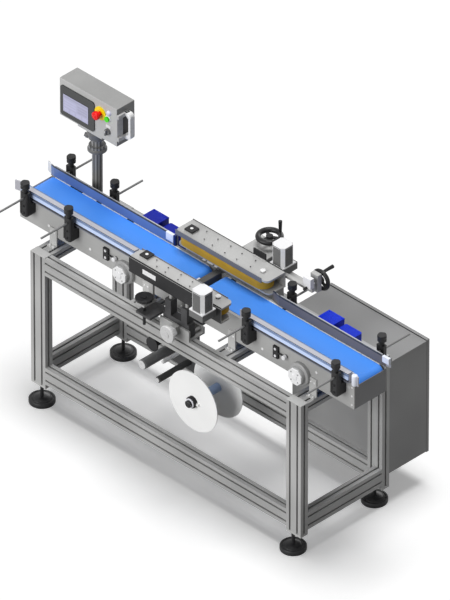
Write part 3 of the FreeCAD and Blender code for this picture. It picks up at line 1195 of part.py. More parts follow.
def panel_screen():
    """Black bezel and the display plate set on it."""
    x0 = PANEL_LEFT + BEZEL_LEFT
    z0 = PANEL_BOTTOM + BEZEL_BOTTOM
    front = PANEL_FRONT - BEZEL_THICKNESS
    bezel = block(x0, front, z0, x0 + BEZEL_WIDTH, PANEL_FRONT, z0 + BEZEL_HEIGHT)
    corners = [edge for edge in bezel.Edges if edge.BoundBox.YLength > 1.0]
    bezel = bezel.makeFillet(BEZEL_CORNER, corners)
    dx = PANEL_LEFT + DISPLAY_LEFT
    dz = PANEL_BOTTOM + DISPLAY_BOTTOM
    display = block(dx, front - DISPLAY_THICKNESS, dz, dx + DISPLAY_WIDTH, front, dz + DISPLAY_HEIGHT)
    return [bezel, display]


def panel_handle():
    """Bow handle on the right side of the box."""
    x0 = PANEL_RIGHT
    x1 = PANEL_RIGHT + PANEL_HANDLE_REACH
    y0 = PANEL_Y - PANEL_HANDLE_WIDTH / 2.0
    y1 = PANEL_Y + PANEL_HANDLE_WIDTH / 2.0
    middle = PANEL_BOTTOM + PANEL_HEIGHT / 2.0
    z0 = middle - PANEL_HANDLE_HEIGHT / 2.0
    z1 = middle + PANEL_HANDLE_HEIGHT / 2.0
    outer = block(x0, y0, z0, x1, y1, z1)
    far = [edge for edge in outer.Edges if edge.BoundBox.YLength > 1.0 and edge.BoundBox.XMin > x0 + 1.0]
    outer = outer.makeFillet(PANEL_HANDLE_CORNER, far)
    bar = PANEL_HANDLE_BAR
    inner = block(x0 - 1.0, y0 - 1.0, z0 + bar, x1 - bar, y1 + 1.0, z1 - bar)
    near = [edge for edge in inner.Edges
            if edge.BoundBox.YLength > 1.0 and edge.BoundBox.XMin > x1 - bar - 1.0]
    inner = inner.makeFillet(PANEL_HANDLE_CORNER - bar * 0.5, near)
    return [outer.cut(inner)]


def estop_collar():
    x = PANEL_LEFT + ESTOP_OFFSET
    z = PANEL_BOTTOM + ESTOP_RISE
    disc = rod_y(x, PANEL_FRONT - ESTOP_COLLAR_THICKNESS, PANEL_FRONT, z, ESTOP_COLLAR_RADIUS)
    hole = rod_y(x, PANEL_FRONT - ESTOP_COLLAR_THICKNESS - 1, PANEL_FRONT + 1, z,
                 ESTOP_STEM_RADIUS + FACE_CLEARANCE)
    return [disc.cut(hole)]


def estop_button():
    x = PANEL_LEFT + ESTOP_OFFSET
    z = PANEL_BOTTOM + ESTOP_RISE
    head_back = PANEL_FRONT - ESTOP_COLLAR_THICKNESS - ESTOP_STANDOFF
    head_front = head_back - ESTOP_HEAD_LENGTH
    head = rod_y(x, head_front, head_back, z, ESTOP_HEAD_RADIUS)
    rims = [edge for edge in head.Edges if edge.BoundBox.YLength < 0.01]
    head = head.makeFillet(5.0, rims)
    stem = rod_y(x, head_back - 6.0, PANEL_FRONT + 12.0, z, ESTOP_STEM_RADIUS)
    return [joined(head, stem)]


def start_button():
    x = PANEL_LEFT + BUTTON_OFFSET
    z = PANEL_BOTTOM + START_RISE
    head = rod_y(x, PANEL_FRONT - BUTTON_LENGTH - 5.0, PANEL_FRONT - 5.0, z, BUTTON_RADIUS)
    stem = rod_y(x, PANEL_FRONT - 6.0, PANEL_FRONT + 12.0, z, BUTTON_STEM_RADIUS)
    return [joined(head, stem)]


def selector_switch():
    x = PANEL_LEFT + BUTTON_OFFSET
    z = PANEL_BOTTOM + SELECTOR_RISE
    front = PANEL_FRONT - FACE_CLEARANCE
    disc = rod_y(x, front - SELECTOR_LENGTH, front, z, SELECTOR_RADIUS)
    grip = block(x - 4.0, front - SELECTOR_LENGTH - SELECTOR_GRIP, z - SELECTOR_RADIUS + 2.0, x + 4.0,
                 front - SELECTOR_LENGTH + 1.0, z + SELECTOR_RADIUS - 2.0)
    stem = rod_y(x, front - 1.0, PANEL_FRONT + 12.0, z, BUTTON_STEM_RADIUS)
    return [joined(disc, grip, stem)]


# Electrical cabinet

def hinge_bottoms():
    """Bottom height of each door hinge."""
    return (CABINET_BOTTOM + HINGE_END_MARGIN,
            CABINET_TOP - HINGE_END_MARGIN - 2.0 * HINGE_KNUCKLE_HEIGHT)


def cabinet_body():
    outer = block(CABINET_LEFT, CABINET_FRONT, CABINET_BOTTOM, CABINET_RIGHT, CABINET_BACK, CABINET_TOP)
    wall = CABINET_WALL
    lip = CABINET_LIP
    inner = block(CABINET_LEFT + wall, CABINET_FRONT + wall, CABINET_BOTTOM + wall, CABINET_RIGHT - wall,
                  CABINET_BACK - wall, CABINET_TOP - wall)
    mouth = block(CABINET_LEFT + lip, CABINET_BACK - wall - 1.0, CABINET_BOTTOM + lip, CABINET_RIGHT - lip,
                  CABINET_BACK + 1.0, CABINET_TOP - lip)
    margin = MOUNTING_PLATE_MARGIN
    plate_y = CABINET_FRONT + wall + MOUNTING_PLATE_STANDOFF
    plate = block(CABINET_LEFT + margin, plate_y, CABINET_BOTTOM + margin, CABINET_RIGHT - margin,
                  plate_y + MOUNTING_PLATE_THICKNESS, CABINET_TOP - margin)
    posts = [rod_y(x, CABINET_FRONT + wall, plate_y, z, 6.0)
             for x in (CABINET_LEFT + margin + 20.0, CABINET_RIGHT - margin - 20.0)
             for z in (CABINET_BOTTOM + margin + 20.0, CABINET_TOP - margin - 20.0)]
    shell = outer.cut([inner, mouth])
    for low in hinge_bottoms():
        middle = low + HINGE_KNUCKLE_HEIGHT
        leaf = block(HINGE_X, CABINET_BACK - 12.0, low, CABINET_LEFT, CABINET_BACK, middle)
        knuckle = rod_z(HINGE_X, DOOR_FRONT, low, middle, HINGE_RADIUS)
        pin = rod_z(HINGE_X, DOOR_FRONT, middle, middle + HINGE_KNUCKLE_HEIGHT, HINGE_PIN_RADIUS)
        shell = joined(shell, leaf, knuckle, pin)
    return [shell, joined(plate, *posts)]


def cabinet_door():
    over = DOOR_OVERHANG
    outer = block(CABINET_LEFT - over, DOOR_FRONT, CABINET_BOTTOM - over, CABINET_RIGHT, DOOR_BACK,
                  CABINET_TOP + over)
    wall = DOOR_WALL
    inner = block(CABINET_LEFT - over + wall, DOOR_FRONT - 1.0, CABINET_BOTTOM - over + wall,
                  CABINET_RIGHT - wall, DOOR_BACK - wall, CABINET_TOP + over - wall)
    hole = rod_y(LOCK_X, DOOR_BACK - wall - 1.0, DOOR_BACK + 1.0, LOCK_Z, LOCK_STEM_RADIUS + RUN_CLEARANCE)
    shell = outer.cut([inner, hole])
    for low in hinge_bottoms():
        z0 = low + HINGE_KNUCKLE_HEIGHT + FACE_CLEARANCE
        z1 = low + 2.0 * HINGE_KNUCKLE_HEIGHT
        leaf = block(HINGE_X, DOOR_FRONT, z0, CABINET_LEFT - over, DOOR_FRONT + 8.0, z1)
        knuckle = rod_z(HINGE_X, DOOR_FRONT, z0, z1, HINGE_RADIUS)
        bore = rod_z(HINGE_X, DOOR_FRONT, z0 - 1, z1 + 1, HINGE_PIN_RADIUS + RUN_CLEARANCE)
        shell = joined(shell, leaf, knuckle).cut(bore)
    return [shell]


def door_lock():
    head = rod_y(LOCK_X, DOOR_BACK + FACE_CLEARANCE, DOOR_BACK + LOCK_REACH, LOCK_Z, LOCK_RADIUS)
    slot = block(LOCK_X - 7.0, DOOR_BACK + LOCK_REACH - 3.0, LOCK_Z - 1.5, LOCK_X + 7.0,
                 DOOR_BACK + LOCK_REACH + 1.0, LOCK_Z + 1.5)
    stem = rod_y(LOCK_X, DOOR_FRONT + 5.0, DOOR_BACK + 1.0, LOCK_Z, LOCK_STEM_RADIUS)
    cam = block(LOCK_X - 7.0, DOOR_FRONT + 5.0, LOCK_Z - 9.0, LOCK_X + 7.0, DOOR_FRONT + 8.0, LOCK_Z + 30.0)
    return [joined(head.cut(slot), stem, cam)]


# Label head

def label_head_frame():
    """Header under the middle rails, hanging plate and the arm out to the reel."""
    header = block(MIDDLE_RAIL_LEFT_X - PROFILE_WIDE / 2.0, HEAD_PLATE_BACK - HEADER_DEPTH,
                   MIDDLE_RAIL_BOTTOM - HEADER_THICKNESS, MIDDLE_RAIL_RIGHT_X + PROFILE_WIDE / 2.0,
                   HEAD_PLATE_BACK, MIDDLE_RAIL_BOTTOM)
    plate = block(HEAD_PLATE_LEFT, HEAD_PLATE_FRONT, HEAD_PLATE_BOTTOM, HEAD_PLATE_RIGHT, HEAD_PLATE_BACK,
                  MIDDLE_RAIL_BOTTOM - HEADER_THICKNESS)
    half = HEAD_ARM_HEIGHT / 2.0
    arm = block(HEAD_PLATE_RIGHT, HEAD_PLATE_FRONT, REEL_HEIGHT - half, HEAD_ARM_RIGHT, HEAD_PLATE_BACK,
                REEL_HEIGHT + half)
    body = joined(header, plate, arm)
    bores = []
    axles = [(PULL_ROLLER_X, PULL_ROLLER_HEIGHT, AXLE_RADIUS), (DANCER_X, DANCER_HEIGHT, AXLE_RADIUS),
             (WEB_ROLLER_X, WEB_ROLLER_HEIGHT, AXLE_RADIUS), (REWIND_X, REWIND_HEIGHT, AXLE_RADIUS),
             (REEL_X, REEL_HEIGHT, REEL_SHAFT_RADIUS)]
    for x, z, radius in axles:
        bores.append(rod_y(x, HEAD_PLATE_FRONT - 1, HEAD_PLATE_BACK + 1, z, radius + RUN_CLEARANCE))
    return [body.cut(bores)]


def head_roller(x, z, radius, front):
    drum = rod_y(x, front, HEAD_PLATE_FRONT - 4.0, z, radius)
    axle = rod_y(x, HEAD_PLATE_FRONT - 4.0, HEAD_PLATE_BACK, z, AXLE_RADIUS)
    nose = rod_y(x, front - 4.0, front, z, AXLE_RADIUS)
    return [joined(drum, axle, nose)]


def rewind_spool():
    core = rod_y(REWIND_X, REWIND_FRONT, HEAD_PLATE_FRONT - 4.0, REWIND_HEIGHT, REWIND_CORE_RADIUS)
    disc = rod_y(REWIND_X, REWIND_FRONT - REWIND_DISC_THICKNESS, REWIND_FRONT, REWIND_HEIGHT,
                 REWIND_DISC_RADIUS)
    axle = rod_y(REWIND_X, HEAD_PLATE_FRONT - 4.0, HEAD_PLATE_BACK, REWIND_HEIGHT, AXLE_RADIUS)
    return [joined(core, disc, axle)]


def label_reel():
    """Two discs on a core, the clamping hub in front and the shaft behind."""
    hole = rod_y(REEL_X, REEL_FRONT - 1, REEL_BACK + 1, REEL_HEIGHT, REEL_CORE_RADIUS)
    front = rod_y(REEL_X, REEL_FRONT, REEL_FRONT + REEL_DISC_THICKNESS, REEL_HEIGHT, REEL_DISC_RADIUS)
    back = rod_y(REEL_X, REEL_BACK - REEL_DISC_THICKNESS, REEL_BACK, REEL_HEIGHT, REEL_DISC_RADIUS)
    core = rod_y(REEL_X, REEL_FRONT, REEL_BACK, REEL_HEIGHT, REEL_CORE_RADIUS)
    shaft = rod_y(REEL_X, REEL_BACK, HEAD_PLATE_BACK, REEL_HEIGHT, REEL_SHAFT_RADIUS)
    hub_middle = REEL_FRONT - REEL_HUB_LENGTH * 0.45
    hub = joined(rod_y(REEL_X, hub_middle, REEL_FRONT, REEL_HEIGHT, REEL_HUB_RADIUS),
                 rod_y(REEL_X, REEL_FRONT - REEL_HUB_LENGTH, hub_middle, REEL_HEIGHT, REEL_HUB_RADIUS * 0.6))
    lever = block(REEL_X, REEL_FRONT - 10.0, REEL_HEIGHT - 5.0, REEL_X + REEL_HUB_RADIUS + 14.0, REEL_FRONT,
                  REEL_HEIGHT + 5.0)
    hub = joined(hub, lever)
    return [front.cut(hole), back.cut(hole), joined(core, shaft), hub]


def peel_plate():
    """Upright peel plate in the gap and the white transfer strip beside its edge."""
    y0 = PLATE_FRONT + PEEL_SIDE_GAP
    y1 = PLATE_BACK - PEEL_SIDE_GAP
    top = BELT_TOP - PEEL_TOP_GAP
    x1 = PEEL_PLATE_X + PEEL_PLATE_THICKNESS
    plate = block(PEEL_PLATE_X, y0, MIDDLE_RAIL_BOTTOM, x1, y1, top)
    strip = block(PEEL_PLATE_X - TRANSFER_STRIP_REACH, y0, top - TRANSFER_STRIP_THICKNESS, PEEL_PLATE_X,
                  y1, top)
    return [plate, strip]


def machine_screws():
    """Button-head screws of the side plates, conveyor ends and brackets, on both sides."""
    heads = [rod_y(x, PLATE_FRONT - SCREW_HEAD_HEIGHT, PLATE_FRONT, PLATE_BOTTOM + rise, PLATE_SCREW_RADIUS)
             for x, rise in PLATE_SCREWS]
    for x0, x1, drive_x in conveyor_spans():
        heads += [rod_y(x1 - 14.0, PLATE_FRONT - SCREW_HEAD_HEIGHT, PLATE_FRONT, PLATE_BOTTOM + rise,
                        END_SCREW_RADIUS) for rise in END_SCREW_RISES]
    wall_front = PLATE_FRONT - BRACKET_THICKNESS
    foot_y = PLATE_FRONT - (BRACKET_FOOT + BRACKET_THICKNESS) / 2.0
    foot_top = FRAME_TOP + BRACKET_THICKNESS
    for x in bracket_xs():
        for side in (-1, 1):
            screw_x = x + side * BRACKET_WIDTH / 4.0
            heads.append(rod_y(screw_x, wall_front - SCREW_HEAD_HEIGHT, wall_front,
                               PLATE_BOTTOM + BRACKET_OVERLAP / 2.0, END_SCREW_RADIUS))
            heads.append(rod_z(screw_x, foot_y, foot_top, foot_top + SCREW_HEAD_HEIGHT, END_SCREW_RADIUS))
    return heads + [mirrored(head) for head in heads]


def main():
    os.makedirs("parts", exist_ok=True)
    left, right = conveyor_spans()
    left_axes = roller_axes(*left)
    right_axes = roller_axes(*right)
    export("frame_legs", frame_legs())
    export("frame_long_rails", frame_long_rails())
    export("frame_cross_rails", frame_cross_rails())
    export("leg_end_plates", leg_end_plates())
    export("levelling_feet", levelling_feet())
    export("cabinet_body", cabinet_body())
    export("cabinet_door", cabinet_door())
    export("door_lock", door_lock())
    export("conveyor_side_plates", conveyor_side_plates())
    export("conveyor_beds", conveyor_beds())
    export("conveyor_belts", conveyor_belts())
    export("conveyor_brackets", conveyor_brackets())
    export("drive_housings", drive_housings())
    export("conveyor_motors", conveyor_motors())
    export("photo_sensors", photo_sensors())
    names = ("tail_roller", "drive_roller", "head_roller")
    for name, axis in zip(names, left_axes):
        export("left_" + name, conveyor_roller(*axis))
    for name, axis in zip(names, right_axes):
        export("right_" + name, conveyor_roller(*axis))
    export("front_left_guide", left_guide(FRONT_GUIDE_DEPTH))
    export("front_right_guide", right_guide(FRONT_GUIDE_DEPTH))
    export("back_left_guide", [mirrored(piece) for piece in left_guide(BACK_GUIDE_DEPTH)])
    export("back_right_guide", [mirrored(piece) for piece in right_guide(BACK_GUIDE_DEPTH)])
    export("guide_clamps", guide_clamps())
    export("back_gripper_frame", back_gripper_frame())
    export("back_gripper_motor", gripper_motor(BACK_AXIS_Y, -1, BACK_PLATE_OUTER))
    export("back_gripper_belt", gripper_belt(BACK_AXIS_Y))
    export("back_drive_pulley", gripper_pulley(DRIVE_X, BACK_AXIS_Y, GRIPPER_TOP + DRIVE_SHAFT_RISE))
    export("back_idler_pulley", gripper_pulley(IDLER_X, BACK_AXIS_Y, GRIPPER_TOP + BEARING_BLOCK_HEIGHT))
    export("lift_column", lift_column())
    export("lift_carriage", lift_carriage())
    export("lift_handwheel", lift_handwheel())
    export("width_handwheel", width_handwheel())
    export("front_gripper_frame", front_gripper_frame())
    export("front_gripper_motor", gripper_motor(FRONT_AXIS_Y, 1, FRONT_PLATE_OUTER))
    export("front_gripper_belt", gripper_belt(FRONT_AXIS_Y))
    export("front_drive_pulley", gripper_pulley(DRIVE_X, FRONT_AXIS_Y, GRIPPER_TOP + DRIVE_SHAFT_RISE))
    export("front_idler_pulley", gripper_pulley(IDLER_X, FRONT_AXIS_Y, GRIPPER_TOP + BEARING_BLOCK_HEIGHT))
    export("front_column", front_column())
    export("front_slide", front_slide())
    export("front_width_knob", front_width_knob())
    export("front_lift_knob", front_lift_knob())
    export("panel_post", panel_post())
    export("panel_box", panel_box())
    export("panel_screen", panel_screen())
    export("panel_handle", panel_handle())
    export("estop_collar", estop_collar())
    export("estop_button", estop_button())
    export("start_button", start_button())
    export("selector_switch", selector_switch())
    export("label_head_frame", label_head_frame())
    export("label_reel", label_reel())
    export("pull_roller", head_roller(PULL_ROLLER_X, PULL_ROLLER_HEIGHT, PULL_ROLLER_RADIUS,
                                      HEAD_ROLLER_FRONT))
    export("dancer_roller", head_roller(DANCER_X, DANCER_HEIGHT, DANCER_RADIUS, HEAD_ROLLER_FRONT))
    export("web_roller", head_roller(WEB_ROLLER_X, WEB_ROLLER_HEIGHT, WEB_ROLLER_RADIUS, HEAD_ROLLER_FRONT))
    export("rewind_spool", rewind_spool())
    export("peel_plate", peel_plate())
    export("machine_screws", machine_screws())


main()
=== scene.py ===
import json
import math

import bmesh
import bpy
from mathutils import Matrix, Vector


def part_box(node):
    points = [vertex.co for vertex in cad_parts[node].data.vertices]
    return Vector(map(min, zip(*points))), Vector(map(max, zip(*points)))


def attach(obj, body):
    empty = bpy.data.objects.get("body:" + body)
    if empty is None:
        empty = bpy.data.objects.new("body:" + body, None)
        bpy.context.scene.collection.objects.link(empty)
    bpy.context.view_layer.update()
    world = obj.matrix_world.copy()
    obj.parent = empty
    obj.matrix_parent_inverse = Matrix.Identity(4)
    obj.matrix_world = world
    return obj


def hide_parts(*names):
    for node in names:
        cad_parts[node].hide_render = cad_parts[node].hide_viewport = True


bl_info = {
    "name": "Linear labelling machine",
    "version": (1, 0, 0),
    "blender": (4, 5, 0),
    "location": "View3D > Sidebar > Labeller",
    "description": "Finishes and detail pieces of a linear labelling machine on a slotted frame",
    "category": "Object",
}

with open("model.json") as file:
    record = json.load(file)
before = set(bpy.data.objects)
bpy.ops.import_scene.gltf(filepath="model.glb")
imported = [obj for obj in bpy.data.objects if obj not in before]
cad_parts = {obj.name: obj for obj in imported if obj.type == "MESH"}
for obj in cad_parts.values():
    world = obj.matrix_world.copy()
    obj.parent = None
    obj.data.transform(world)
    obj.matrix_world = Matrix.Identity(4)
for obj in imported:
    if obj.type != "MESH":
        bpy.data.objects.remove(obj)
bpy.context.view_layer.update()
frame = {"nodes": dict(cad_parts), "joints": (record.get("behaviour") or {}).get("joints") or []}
NODES = frame["nodes"]
JOINTS = {joint["name"]: joint for joint in frame["joints"]}
LANE_Y = sum(corner.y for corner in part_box("conveyor_belts")) / 2.0

# Distances of the guide rails' faces from the middle of the lane.
GUIDE_LANE = 0.087
GUIDE_STRIP_OUTER = 0.0935
GUIDE_BODY_OUTER = 0.117
ROD_STEEL = (0.22, 0.22, 0.22)

# Faces of the two back guides: on the left a painted reflection of the blue belt, on the right a brownish
# grey.
BACK_GUIDE_FACE = {"left": (0.115, 0.19, 0.40), "right": (0.17, 0.145, 0.125)}

# Clamp solids shorter than these are the neck and the head of its knob.
CLAMP_NECK = 0.025
CLAMP_HEAD = 0.050

# Reach of the handle's flange in front of its loop, and the depth that counts as a face for the panel's
# painted shade.
HANDLE_FLANGE = 0.056
PANEL_SKIN = 0.0006

# Conveyor motors: shaft's place and gear side from the lower left corner of the motor's box, fins.
MOTOR_SHAFT = (0.069, 0.057)
MOTOR_GEAR_SIDE = 0.112
MOTOR_FINS = 22
MOTOR_FIN_PITCH = 0.005
MOTOR_FIN_RADIUS = 0.0475

# Bearing caps on the side plates: radius of the octagon, radius of its screw circle.
BEARING_CAP_RADIUS = 0.0425
BEARING_SCREW_CIRCLE = 0.029

# Top of the crank handle above the middle of the handwheel's rim.
WHEEL_GRIP_LENGTH = 0.066

# White blocks on the back guides: end, reach from the guide's end, rise from its lower edge.
END_BLOCKS = (("left", -0.058, -0.013, 0.012, 0.052), ("right", -0.041, 0.0, 0.020, 0.052))

# Small screws on both gripper plates: share of the plate's length, share of its width.
PLATE_SCREWS = ((0.20, 0.75), (0.26, 0.30), (0.335, 0.68), (0.36, 0.24), (0.47, 0.70), (0.50, 0.22),
                (0.60, 0.66), (0.625, 0.24), (0.74, 0.70), (0.77, 0.26))

# Outline of the thick pad round each foot: radius, height.
FOOT_PAD = ((0.0590, 0.0010), (0.0608, 0.0030), (0.0608, 0.0185), (0.0585, 0.0220), (0.0520, 0.0225),
            (0.0505, 0.0205), (0.0460, 0.0205), (0.0440, 0.0232), (0.0380, 0.0245))

# Screw heads: (share of the radius, share of the height), with a hexagon where the share is small.
SCREW_HEAD = ((1.0, 0.0), (1.0, 0.45), (0.86, 0.85), (0.62, 1.0), (0.5, 1.0), (0.5, 0.35))
SCREW_SOCKET = 0.5

# Outlines of turned pieces: (radius, height) steps.
BEARING_BOSS = ((0.015, -0.001), (0.015, 0.003), (0.008, 0.004))
BEARING_COLLAR = ((0.056, 0.0), (0.056, 0.017), (0.052, 0.021), (0.044, 0.022))
SENSOR_BARREL = ((0.0105, -0.016), (0.0105, -0.001), (0.0085, 0.001), (0.004, 0.0015))
ROUND_END = ((0.0128, 0.0), (0.0135, 0.002), (0.0135, 0.048), (0.0125, 0.0505))
IDLER_SHAFT_END = ((0.0072, -0.001), (0.0072, 0.0008), (0.0055, 0.0014))
DRIVE_SHAFT_END = ((0.0125, 0.0), (0.0125, 0.004), (0.0105, 0.0048), (0.009, 0.0052))
LIFT_KNOB_RIM = ((0.0405, 0.001), (0.0415, 0.004), (0.0415, 0.010), (0.0405, 0.013))
WIDTH_KNOB_RIM = ((0.0405, 0.001), (0.0412, 0.003), (0.0412, 0.011), (0.0405, 0.013))
START_RING = ((0.0165, 0.0), (0.0165, 0.003), (0.0145, 0.0045))
PILOT_LAMP = ((0.013, 0.0), (0.013, 0.003), (0.0115, 0.005), (0.009, 0.010), (0.004, 0.012))
ESTOP_DOME = ((0.012, -0.003), (0.012, 0.0), (0.010, 0.0012))
SWIVEL_CONE = ((0.0275, 0.0), (0.040, 0.004), (0.040, 0.016), (0.047, 0.030), (0.047, 0.048))
SWIVEL_COLLAR = ((0.0395, 0.0), (0.0445, 0.002), (0.0445, 0.012), (0.0405, 0.016), (0.030, 0.030))
SWIVEL_LEVER = ((0.013, 0.0), (0.013, 0.012), (0.010, 0.015), (0.010, 0.021))
CABLE_GLAND = ((0.017, 0.0), (0.017, 0.006), (0.0135, 0.007), (0.0135, 0.018), (0.010, 0.022))
REEL_HUB = ((0.0285, -0.001), (0.0285, 0.014), (0.027, 0.0165), (0.0175, 0.017), (0.0175, 0.033),
            (0.015, 0.0348), (0.006, 0.0352))
REEL_HUB_RING = ((0.0225, 0.0), (0.0232, 0.001), (0.0232, 0.0045), (0.0215, 0.0055))

# Side of the panel's handle: (reach from the panel, height above the handle's middle).
HANDLE_OUTER = ((0.0, -0.069), (0.020, -0.069), (0.0425, -0.050), (0.0425, 0.050), (0.020, 0.069),
                (0.0, 0.069))
HANDLE_INNER = ((0.0, -0.052), (0.016, -0.052), (0.029, -0.042), (0.029, 0.042), (0.016, 0.052),
                (0.0, 0.052))

# White plate in the front gripper's cover: left, right, bottom and top in metres.
SLOT_PLATE = (-0.155, -0.074, 1.043, 1.0675)

# Dark breaks in the pale strip beside each belt: (share of its length, length in metres).
EDGE_GAPS = (((0.10, 0.075), (0.27, 0.030), (0.47, 0.040)), ((0.02, 0.030), (0.36, 0.020)))

# The picture is a parallel isometric view, so the lens is very long and the camera far away.
PICTURE_HEIGHT = 2.637
VIEW_AZIMUTH = 45.0
VIEW_ELEVATION = 35.264
VIEW_TARGET = Vector((-0.0136, 0.0084, 0.7873))
SENSOR = 36.0
OVERHEAD_DIRECTION = (0.02, -0.07, -1.0)
FRONT_DIRECTION = (0.10, 0.95, -0.34)
REAR_DIRECTION = (0.34, -0.92, -0.14)


# Shader expressions

class Wire:
    """An output of a shader node that can stand in a Python expression."""

    def __init__(self, finish, output):
        self.finish = finish
        self.output = output

    def maths(self, operation, *values):
        slots = {index: value for index, value in enumerate(values)}
        return self.finish.add("Math", {"operation": operation}, slots)

    def __add__(self, other):
        return self.maths("ADD", self, other)

    def __radd__(self, other):
        return self.maths("ADD", other, self)

    def __sub__(self, other):
        return self.maths("SUBTRACT", self, other)

    def __rsub__(self, other):
        return self.maths("SUBTRACT", other, self)

    def __mul__(self, other):
        return self.maths("MULTIPLY", self, other)

    def __rmul__(self, other):
        return self.maths("MULTIPLY", other, self)

    def __gt__(self, other):
        return self.maths("GREATER_THAN", self, other)

    def __lt__(self, other):
        return self.maths("LESS_THAN", self, other)

    def sine(self):
        return self.maths("SINE", self)

    def size(self):
        return self.maths("ABSOLUTE", self)

    def clamped(self):
        return self.maths("MINIMUM", self.maths("MAXIMUM", self, 0.0), 1.0)


class TreeMaker:
    """Adds nodes to one node tree, whose wires stand in Python expressions."""

    def __init__(self, tree):
        self.tree = tree

    def connect(self, socket, value):
        if isinstance(value, Wire):
            self.tree.links.new(value.output, socket)
            return
        if hasattr(value, "__len__") and len(value) == 3 and len(socket.default_value) == 4:
            value = (*value, 1.0)
        socket.default_value = value

    def add(self, kind, settings=None, inputs=None, output=0):
        made = self.tree.nodes.new("ShaderNode" + kind)
        for key, value in (settings or {}).items():
            if key == "stops":
                self.fill_ramp(made.color_ramp, value)
            else:
                setattr(made, key, value)
        for key, value in (inputs or {}).items():
            self.connect(made.inputs[key], value)
        return Wire(self, made.outputs[output])

    def fill_ramp(self, ramp, stops):
        while len(ramp.elements) < len(stops):
            ramp.elements.new(0.5)
        for element, (position, colour) in zip(ramp.elements, stops):
            element.position = position
            element.color = (*colour, 1.0)

    def place(self, axis=None):
        """Object coordinates, which are the machine's own metres, or one of them."""
        point = self.add("TexCoord", output=3)
        if axis is None:
            return point
        return self.add("SeparateXYZ", {}, {0: point}, output="XYZ".index(axis))

    def noise(self, scale, stretch=(1.0, 1.0, 1.0), detail=3.0, offset=(0.0, 0.0, 0.0)):
        point = self.add("Mapping", {}, {"Vector": self.place(), "Scale": stretch, "Location": offset})
        return self.add("TexNoise", {}, {"Vector": point, "Scale": scale, "Detail": detail})

    def mix(self, factor, first, second):
        node = self.tree.nodes.new("ShaderNodeMix")
        node.data_type = "RGBA"
        self.connect(node.inputs[0], factor)
        self.connect(node.inputs[6], first)
        self.connect(node.inputs[7], second)
        return Wire(self, node.outputs[2])


class Finish(TreeMaker):
    """A material under construction, with a Principled shader at its end."""

    def __init__(self, name, colour, roughness, metallic=0.0, coat=0.0, specular=0.35):
        self.material = bpy.data.materials.new(name)
        self.material.use_nodes = True
        self.material.diffuse_color = (*colour[:3], 1.0)
        self.tree = self.material.node_tree
        self.tree.nodes.clear()
        self.shader = self.tree.nodes.new("ShaderNodeBsdfPrincipled")
        end = self.tree.nodes.new("ShaderNodeOutputMaterial")
        self.tree.links.new(self.shader.outputs[0], end.inputs["Surface"])
        self.feed("Base Color", colour)
        self.feed("Roughness", roughness)
        self.feed("Metallic", metallic)
        self.feed("Coat Weight", coat)
        self.feed("Specular IOR Level", specular)

    def feed(self, name, value):
        self.connect(self.shader.inputs[name], value)

    def bump(self, height, depth, strength=0.5):
        normal = self.add("Bump", {}, {"Height": height, "Distance": depth, "Strength": strength})
        self.feed("Normal", normal)
        return self.material


def shade(colour, factor):
    return tuple(min(1.0, channel * factor) for channel in colour[:3])


# Finishes

def brushed_metal(name, colour, grain="X", roughness=0.36, contrast=0.10, metallic=0.06):
    """Brushed or drawn metal: fine streaks along one axis, faint cloudy handling marks, and broad patches of
    painted sheen.
    """
    stretch = {"X": (0.02, 1.0, 1.0), "Y": (1.0, 0.02, 1.0), "Z": (1.0, 1.0, 0.02)}[grain]
    finish = Finish(name, colour, roughness, metallic, specular=0.16)
    streaks = finish.noise(420.0, stretch, 2.0)
    clouds = finish.noise(7.0, (1.0, 1.0, 1.0), 4.0)
    painted_sheen = finish.noise(3.2, (1.0, 1.0, 1.0), 1.0, (0.35, 0.1, 0.6))
    # Broad light and dark patches: a painted sheen that stands in for reflections on the metal.
    tone = (streaks - 0.5) * contrast * 2.0 + (clouds - 0.5) * contrast + (painted_sheen - 0.5) * 1.4 + 0.5
    finish.feed("Base Color", finish.mix(tone.clamped(), shade(colour, 0.72), shade(colour, 1.28)))
    finish.feed("Roughness", (clouds - 0.5) * 0.22 + streaks * 0.10 + (roughness - 0.05))
    return finish.bump(streaks, 0.0003, 0.22)


def powder_coat(name, colour, roughness=0.42):
    """Sprayed coat with a fine orange peel and slight uneven gloss."""
    finish = Finish(name, colour, roughness, coat=0.08)
    peel = finish.noise(900.0, detail=1.0)
    clouds = finish.noise(5.0, detail=3.0)
    finish.feed("Base Color", finish.mix(clouds, shade(colour, 0.93), shade(colour, 1.05)))
    finish.feed("Roughness", (clouds - 0.5) * 0.16 + roughness)
    return finish.bump(peel, 0.0002, 0.25)


def moulded_plastic(name, colour, roughness=0.48, grain=1400.0):
    """Moulded plastic with a spark-eroded grain and paler rubbed patches."""
    finish = Finish(name, colour, roughness, specular=0.22)
    grains = finish.noise(grain, detail=2.0)
    rubbed = finish.add("ValToRGB", {"stops": [(0.52, (0.0, 0.0, 0.0)), (0.78, (1.0, 1.0, 1.0))]},
                        {0: finish.noise(38.0, detail=5.0)})
    finish.feed("Base Color", finish.mix(rubbed, colour, shade(colour, 1.35)))
    finish.feed("Roughness", (grains - 0.5) * 0.12 + roughness)
    return finish.bump(grains, 0.0002, 0.30)


def conveyor_belt(name, colour):
    """Smooth coated belt: a fine fabric print through the cover and rubbed tracks along it."""
    finish = Finish(name, colour, 0.42, coat=0.05)
    across = (finish.place("Y") * 4200.0).sine()
    along = (finish.place("X") * 4200.0).sine()
    tracks = finish.noise(16.0, (0.05, 1.0, 1.0), 3.0)
    finish.feed("Base Color", finish.mix(tracks, shade(colour, 0.93), shade(colour, 1.06)))
    finish.feed("Roughness", (tracks - 0.5) * 0.20 + 0.42)
    return finish.bump(across * along, 0.0001, 0.20)


